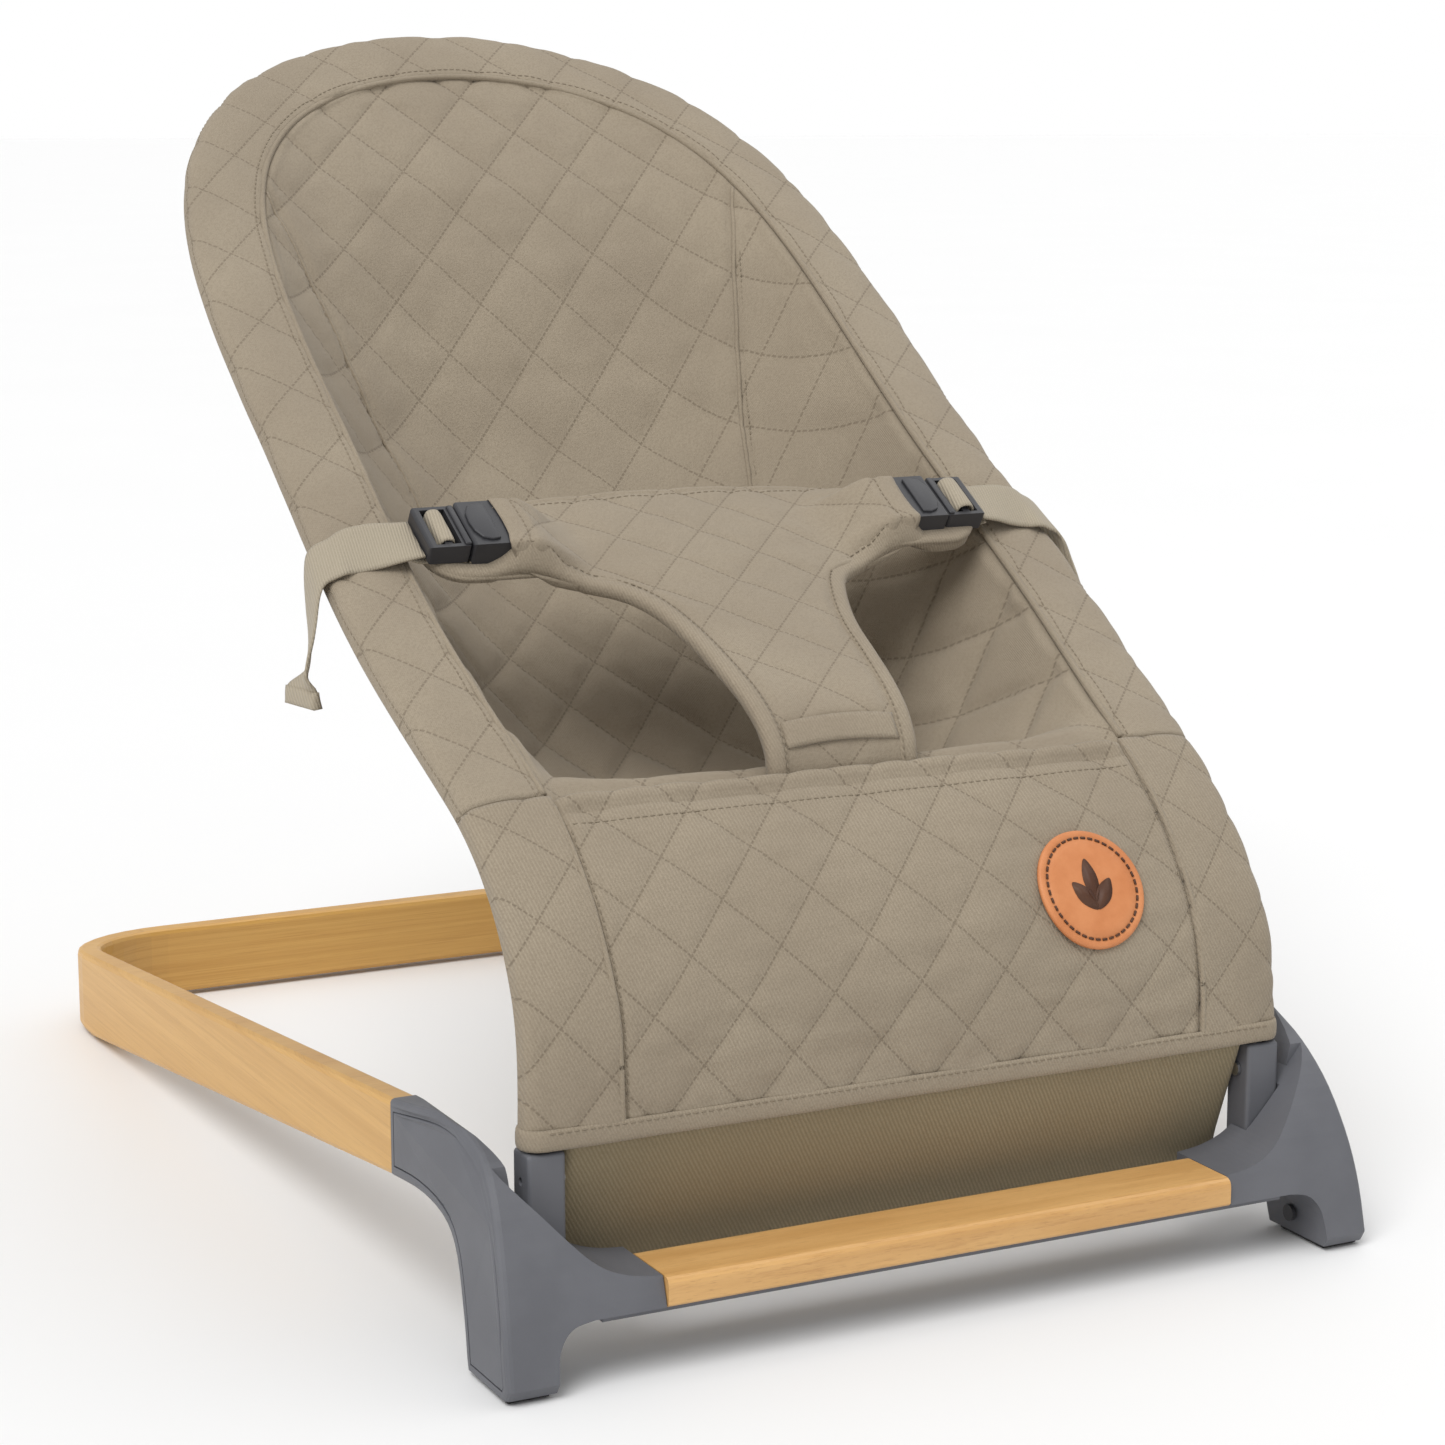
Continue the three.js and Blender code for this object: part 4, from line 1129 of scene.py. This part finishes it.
def buckle_trim(side):
    """Raised thumb plate on the female half, and the webbing wound on the male half's bars."""
    word = word_for(side)
    cap = slab(f"{word}_buckle_cap", side, CAP_HALF, 5.3, 6.7, 0.5)
    finish_piece(cap, "seat", BLACK, slot="black_plastic")
    shoulder = slab(f"{word}_buckle_shoulder", side, SHOULDER_HALF, 4.1, 5.6, 0.6)
    finish_piece(shoulder, f"{word}_strap", BLACK, slot="black_plastic")
    path = [(*between_rows(WOUND, i / 4), 1.0, 0.0) for i in range((len(WOUND) - 1) * 4 + 1)]
    loop = cloth_shell(f"{word}_strap_loop", strap_rows(side, path, WOUND_WIDTH), 1.3, lambda i, k: 0.1)
    finish_piece(loop, f"{word}_strap", WEBBING, slot="webbing")


def bib_end(side):
    """Tongue of the bib that lies under the buckle."""
    rows = []
    for i in range(31):
        x = 84 + (TONGUE_TIP - 0.6 - 84) * i / 30
        past = max(x - TONGUE_TIP + TONGUE_ROUND, 0) / TONGUE_ROUND
        half = TONGUE_ROUND * math.sqrt(max(1 - past ** 2, 0.0)) + 0.3
        rows.append([on_strap(side * x, TONGUE_MIDDLE + half * (k / 10 - 1), TAPE_LEVEL) for k in range(21)])

    def lift(i, k):
        return 0.5 * math.exp(-((min(20 - k, 30 - i) - 2) / 1.6) ** 2)
    tongue = cloth_shell(f"{word_for(side)}_bib_tongue", rows, 3.6, lift)
    finish_piece(tongue, "seat", TAPE, slot="webbing")


def strap(side):
    """The side strap, with its free end folded over and sewn."""
    word = word_for(side)
    path = []
    for i in range((len(STRAP_PATH) - 1) * 6 + 1):
        t = i / 6
        twist = 1 + 0.45 * ease(t / 2) * (1 - ease((t - 2.5) / 2))
        turn = math.radians(curve_through(STRAP_TURN, t))
        path.append((*between_rows(STRAP_PATH, t), twist * (1 - ease((t - 5) / 4)), turn))
    rows = strap_rows(side, path, STRAP_WIDTH)
    band = cloth_shell(f"{word}_strap_band", rows, STRAP_THICK,
                       lambda i, k: 0.25 * math.exp(-min(k, 12 - k) * 0.9))
    finish_piece(band, f"{word}_strap", WEBBING, f"{word}_side_strap", slot="webbing")
    cuff = cloth_shell(f"{word}_strap_fold", strap_rows(side, path[-7:], STRAP_WIDTH + 1.0),
                       lambda i, k: 2.4 + 0.24 * i, lambda i, k: 0.9 + 0.24 * i)
    finish_piece(cuff, f"{word}_strap", WEBBING, slot="webbing")
    for piece in (band, cuff):
        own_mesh(piece)


for side in (-1, 1):
    strap(side)
    buckle_trim(side)
    bib_end(side)

# ---- badge -------------------------------------------------------------------

BADGE_SIDES = 72
# The leather's section with its stitching groove, as radius and height.
BADGE_PROFILE = (
    (6, 1.2), (12, 1.2), (17, 1.2), (20.2, 1.2), (20.8, 0.8), (21.4, 0.8), (22, 1.2),
    (23.6, 1.2), (24.5, 0.9), (24.8, 0.2), (24.8, -0.8), (24.2, -1.2), (12, -1.2),
)
BADGE_FACE = 1.2
BADGE_HIGHEST = 9.3  # it lies no higher than this above the tube's centre
STITCH_RING = 21.1
LEAF_POINTS = 24


def badge_frame():
    """Where the badge's middle lies: its x, the length along the hoop and its height above it."""
    low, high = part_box("flap_badge")
    middle = (low + high) / 2
    y = (middle.y - ZERO_Y) / MM
    z = middle.z / MM

    def miss(s):
        slope = hoop_slope(s)
        at = station_at(s).at
        return abs((y - at.y) * math.cos(slope) + (z - at.z) * math.sin(slope))
    s = min((k / 2 for k in range(40, 260)), key=miss)
    station = station_at(s)
    level = Vector((0, y - station.at.y, z - station.at.z)).dot(station.up)
    return middle.x / MM, s, min(level, BADGE_HIGHEST)


BADGE_X, BADGE_S, BADGE_LEVEL = badge_frame()


def badge_point(across, along_face, high):
    """The badge bends with the flap it is sewn on."""
    station = station_at(BADGE_S + along_face)
    at = Vector((BADGE_X + across, station.at.y, station.at.z))
    return at + station.up * (BADGE_LEVEL + high)


def on_badge(r, turn, high):
    return badge_point(r * math.cos(turn), r * math.sin(turn), high)


def badge_disc():
    turns = [2 * math.pi * k / BADGE_SIDES for k in range(BADGE_SIDES)]
    points = [on_badge(r, turn, high) for r, high in BADGE_PROFILE for turn in turns]
    faces = grid_faces(len(BADGE_PROFILE), BADGE_SIDES, wrap=True)
    top, last = len(points), len(points) - BADGE_SIDES
    points += [on_badge(0, 0, BADGE_FACE), on_badge(0, 0, -BADGE_FACE)]
    for k in range(BADGE_SIDES):
        j = (k + 1) % BADGE_SIDES
        faces += [(top, j, k), (last + k, last + j, top + 1)]
    disc = outward(mesh_object("badge_disc", points, faces))
    finish_piece(disc, "seat", LEATHER, "flap_badge", slot="badge_leather")


def badge_stitches(count=40):
    points, faces = [], []
    for n in range(count):
        turn = 2 * math.pi * n / count
        for high in (0.9, 1.5):
            for ahead, out in ((-0.05, -0.4), (0.05, -0.4), (0.05, 0.4), (-0.05, 0.4)):
                points.append(on_badge(STITCH_RING + out, turn + ahead, high))
        faces += closed_rings(2, 4, start=8 * n)
    piece = outward(mesh_object("badge_stitches", points, faces))
    finish_piece(piece, "seat", BURNT, slot="badge_leather")


def leaf(name, start, degrees, length, width):
    """A pressed leaf shape standing just above the leather, from its stalk's height."""
    turn = math.radians(degrees)
    points = []
    for high in (1.0, 1.42):
        for k in range(LEAF_POINTS):
            t = 2 * math.pi * k / LEAF_POINTS
            u = 0.5 - 0.5 * math.cos(t)
            a = length * u
            b = 0.5 * width * math.sin(t) * (0.6 + 0.4 * math.sin(math.pi * u))
            across = a * math.cos(turn) - b * math.sin(turn)
            points.append(badge_point(across, start + a * math.sin(turn) + b * math.cos(turn), high))
    piece = outward(mesh_object(name, points, closed_rings(2, LEAF_POINTS)))
    finish_piece(piece, "seat", BURNT, slot="badge_leather")


badge_disc()
badge_stitches()
leaf("badge_leaf_left", -9, 128, 15, 7)
leaf("badge_leaf_right", -9, 52, 15, 7)
leaf("badge_leaf_middle", -6, 90, 18, 7)

# ---- seams sewn with thread ----------------------------------------------

STITCH_ROUND = ((-0.5, 0.35), (-0.3, 1.0), (0.3, 1.0), (0.5, 0.35))  # along a stitch, and its fatness
DOWN = Vector((0, 0.45, -0.9))
INWARD = Vector((0, 0.9, -0.43))
BACKWARD = Vector((0, 1, 0))


def tree_of(piece):
    mesh = piece.data
    return BVHTree.FromPolygons([v.co for v in mesh.vertices], [tuple(p.vertices) for p in mesh.polygons])


def on_face(tree, point, aim):
    """Where a line from outside meets a piece, in millimetres, with the surface's normal there."""
    start = Vector(point) - Vector(aim) * 20
    spot, normal, _, _ = tree.ray_cast(place(start), Vector(aim).normalized(), 0.2)
    if spot is None:
        return None
    return Vector((spot.x, spot.y - ZERO_Y, spot.z)) / MM, normal


def laid_on(tree, points, aim):
    """The points carried along the aim to the piece, with its normals, where they meet it."""
    return [spot for spot in (on_face(tree, point, aim) for point in points) if spot]


def sewn(name, path, pitch=3.4, length=2.3, radius=0.32):
    """Stitches of thread along a path of (point, normal)."""
    points, faces = [], []
    travelled, due = 0.0, pitch / 2
    for (a, na), (b, nb) in zip(path, path[1:]):
        step = (b - a).length
        while step > 1e-6 and travelled + step >= due:
            t = (due - travelled) / step
            middle = a.lerp(b, t)
            normal = na.lerp(nb, t).normalized()
            run = (b - a).normalized()
            side = run.cross(normal).normalized()
            faces += closed_rings(len(STITCH_ROUND), 6, start=len(points))
            for reach, fat in STITCH_ROUND:
                for k in range(6):
                    turn = math.pi * k / 3
                    points.append(middle + run * reach * length + side * radius * fat * math.cos(turn)
                                  + normal * (radius * fat * math.sin(turn) + 0.1))
            due += pitch
        travelled += step
    finish_piece(outward(mesh_object(name, points, faces)), "seat", THREAD, slot="webbing")


def seam_on(name, piece, points, aim):
    sewn(name, laid_on(tree_of(piece), points, aim))


def piping(name, path, radius):
    finish_piece(cord_along(name, path, radius), "seat", PLAIN, slot="quilted_cloth")


def dart_piping(side, tree):
    """Cord in the dart, following the back between the dart's points."""
    line = [(side * x, y, z) for x, y, z in DART]
    ends = [spot for spot, _ in laid_on(tree, line, DOWN)]
    path = [a.lerp(b, k / 6) for a, b in zip(ends, ends[1:]) for k in range(6)]
    piping(f"{word_for(side)}_dart_piping", [spot for spot, _ in laid_on(tree, path, DOWN)], 1.1)


def border_seams():
    """Thread round the border's inner and outer edges, and the cord between border and back."""
    tree = tree_of(border)
    loop = whole_loop(side_stations(BORDER_FROM + 1, 100, 90))
    inner = [on_face(tree, beside(station, -24.6, 8.1), -station.up) for station in loop]
    outer = [on_face(tree, beside(station, 8, 2.8), -station.out) for station in loop]
    sewn("border_stitches", [spot for spot in inner if spot])
    sewn("edge_stitches", [spot for spot in outer if spot], radius=0.25)
    piping("border_piping", [beside(station, -28.3, 6.9) for station in loop], 1.6)


def side_seams(side, tree):
    """The seams that both sides of the seat have."""
    word = word_for(side)
    seam_on(f"{word}_dart_stitches", back, [(side * (x + 3), y, z) for x, y, z in DART[1:]], DOWN)
    seam_on(f"{word}_flap_stitches", flap, [(side * 133.2, *PROFILE[s]) for s in range(4, 130, 3)], INWARD)
    sewn(f"{word}_bib_stitches", bib_stitching[side])
    rows = [10.4 + 0.2 * k for k in range(33)]
    pocket = [bib_point(t, side * (bib_row(t)[2] - SEAM_IN)) for t in rows]
    seam_on(f"{word}_pocket_stitches", bib, pocket, DOWN)
    dart_piping(side, tree)
    leg = [station_at(s) for s in range(2, 136, 2)]
    line = [Vector((side * FLAP_HALF, st.at.y, st.at.z)) + st.up * 7.4 for st in leg]
    piping(f"{word}_flap_piping", line, 1.2)


def cross_seams():
    """Seams along the flap's top, the hem and the bib's top."""
    seam_on("flap_top_stitches", flap, [(x, *PROFILE[128]) for x in range(-135, 136, 4)], INWARD)
    hem_y = station_at(FLAP_FROM).at.y - 8
    seam_on("hem_stitches", hem, [(x, hem_y, 93.2) for x in range(-168, 169, 4)], BACKWARD)
    top = len(BIB_ROWS) - 2.1
    seam_on("bib_top_stitches", bib, [bib_point(top, x) for x in range(-84, 85, 4)], DOWN)


border_seams()
cross_seams()
back_tree = tree_of(back)
for side in (-1, 1):
    side_seams(side, back_tree)

# ---- floor and lights ----------------------------------------------------

AMBIENT = 0.57
SUNS = (  # name, aim, power, and angle in degrees
    ("key", (0.75, 0.5, -1.2), 1.95, 38),
    ("rim", (-0.6, -0.2, -0.9), 0.62, 60),
)
FLOOR_HALF = 60
FLOOR_LEVEL = -0.0004


def lay_floor():
    half = FLOOR_HALF
    corners = [(-half, -half, 0), (half, -half, 0), (half, half, 0), (-half, half, 0)]
    mesh = bpy.data.meshes.new("floor")
    mesh.from_pydata(corners, [], [(0, 1, 2, 3)])
    floor = bpy.data.objects.new("floor", mesh)
    paint = Paint("floor", 0.6)
    paint.colour(paint.mix(paint.grain(2.0), (0.86, 0.86, 0.86, 1), (0.84, 0.84, 0.84, 1)))
    mesh.materials.append(paint.material)
    floor.location.z = FLOOR_LEVEL
    SCENE.collection.objects.link(floor)


def light_studio():
    """White all round, which the camera sees in full and the object by a share, and two suns."""
    world = bpy.data.worlds.new("studio")
    world.use_nodes = True
    tree = world.node_tree
    glow = tree.nodes["Background"]
    glow.inputs[0].default_value = (1, 1, 1, 1)
    seen = tree.nodes.new("ShaderNodeLightPath")
    level = tree.nodes.new("ShaderNodeMapRange")
    level.inputs["To Min"].default_value = AMBIENT
    level.inputs["To Max"].default_value = 1.0
    tree.links.new(seen.outputs["Is Camera Ray"], level.inputs["Value"])
    tree.links.new(level.outputs[0], glow.inputs[1])
    SCENE.world = world
    for name, aim, power, angle in SUNS:
        data = bpy.data.lights.new(name, "SUN")
        data.energy = power
        data.angle = math.radians(angle)
        lamp = bpy.data.objects.new(name, data)
        lamp.rotation_euler = Vector(aim).to_track_quat("-Z", "Y").to_euler()
        SCENE.collection.objects.link(lamp)


lay_floor()
light_studio()
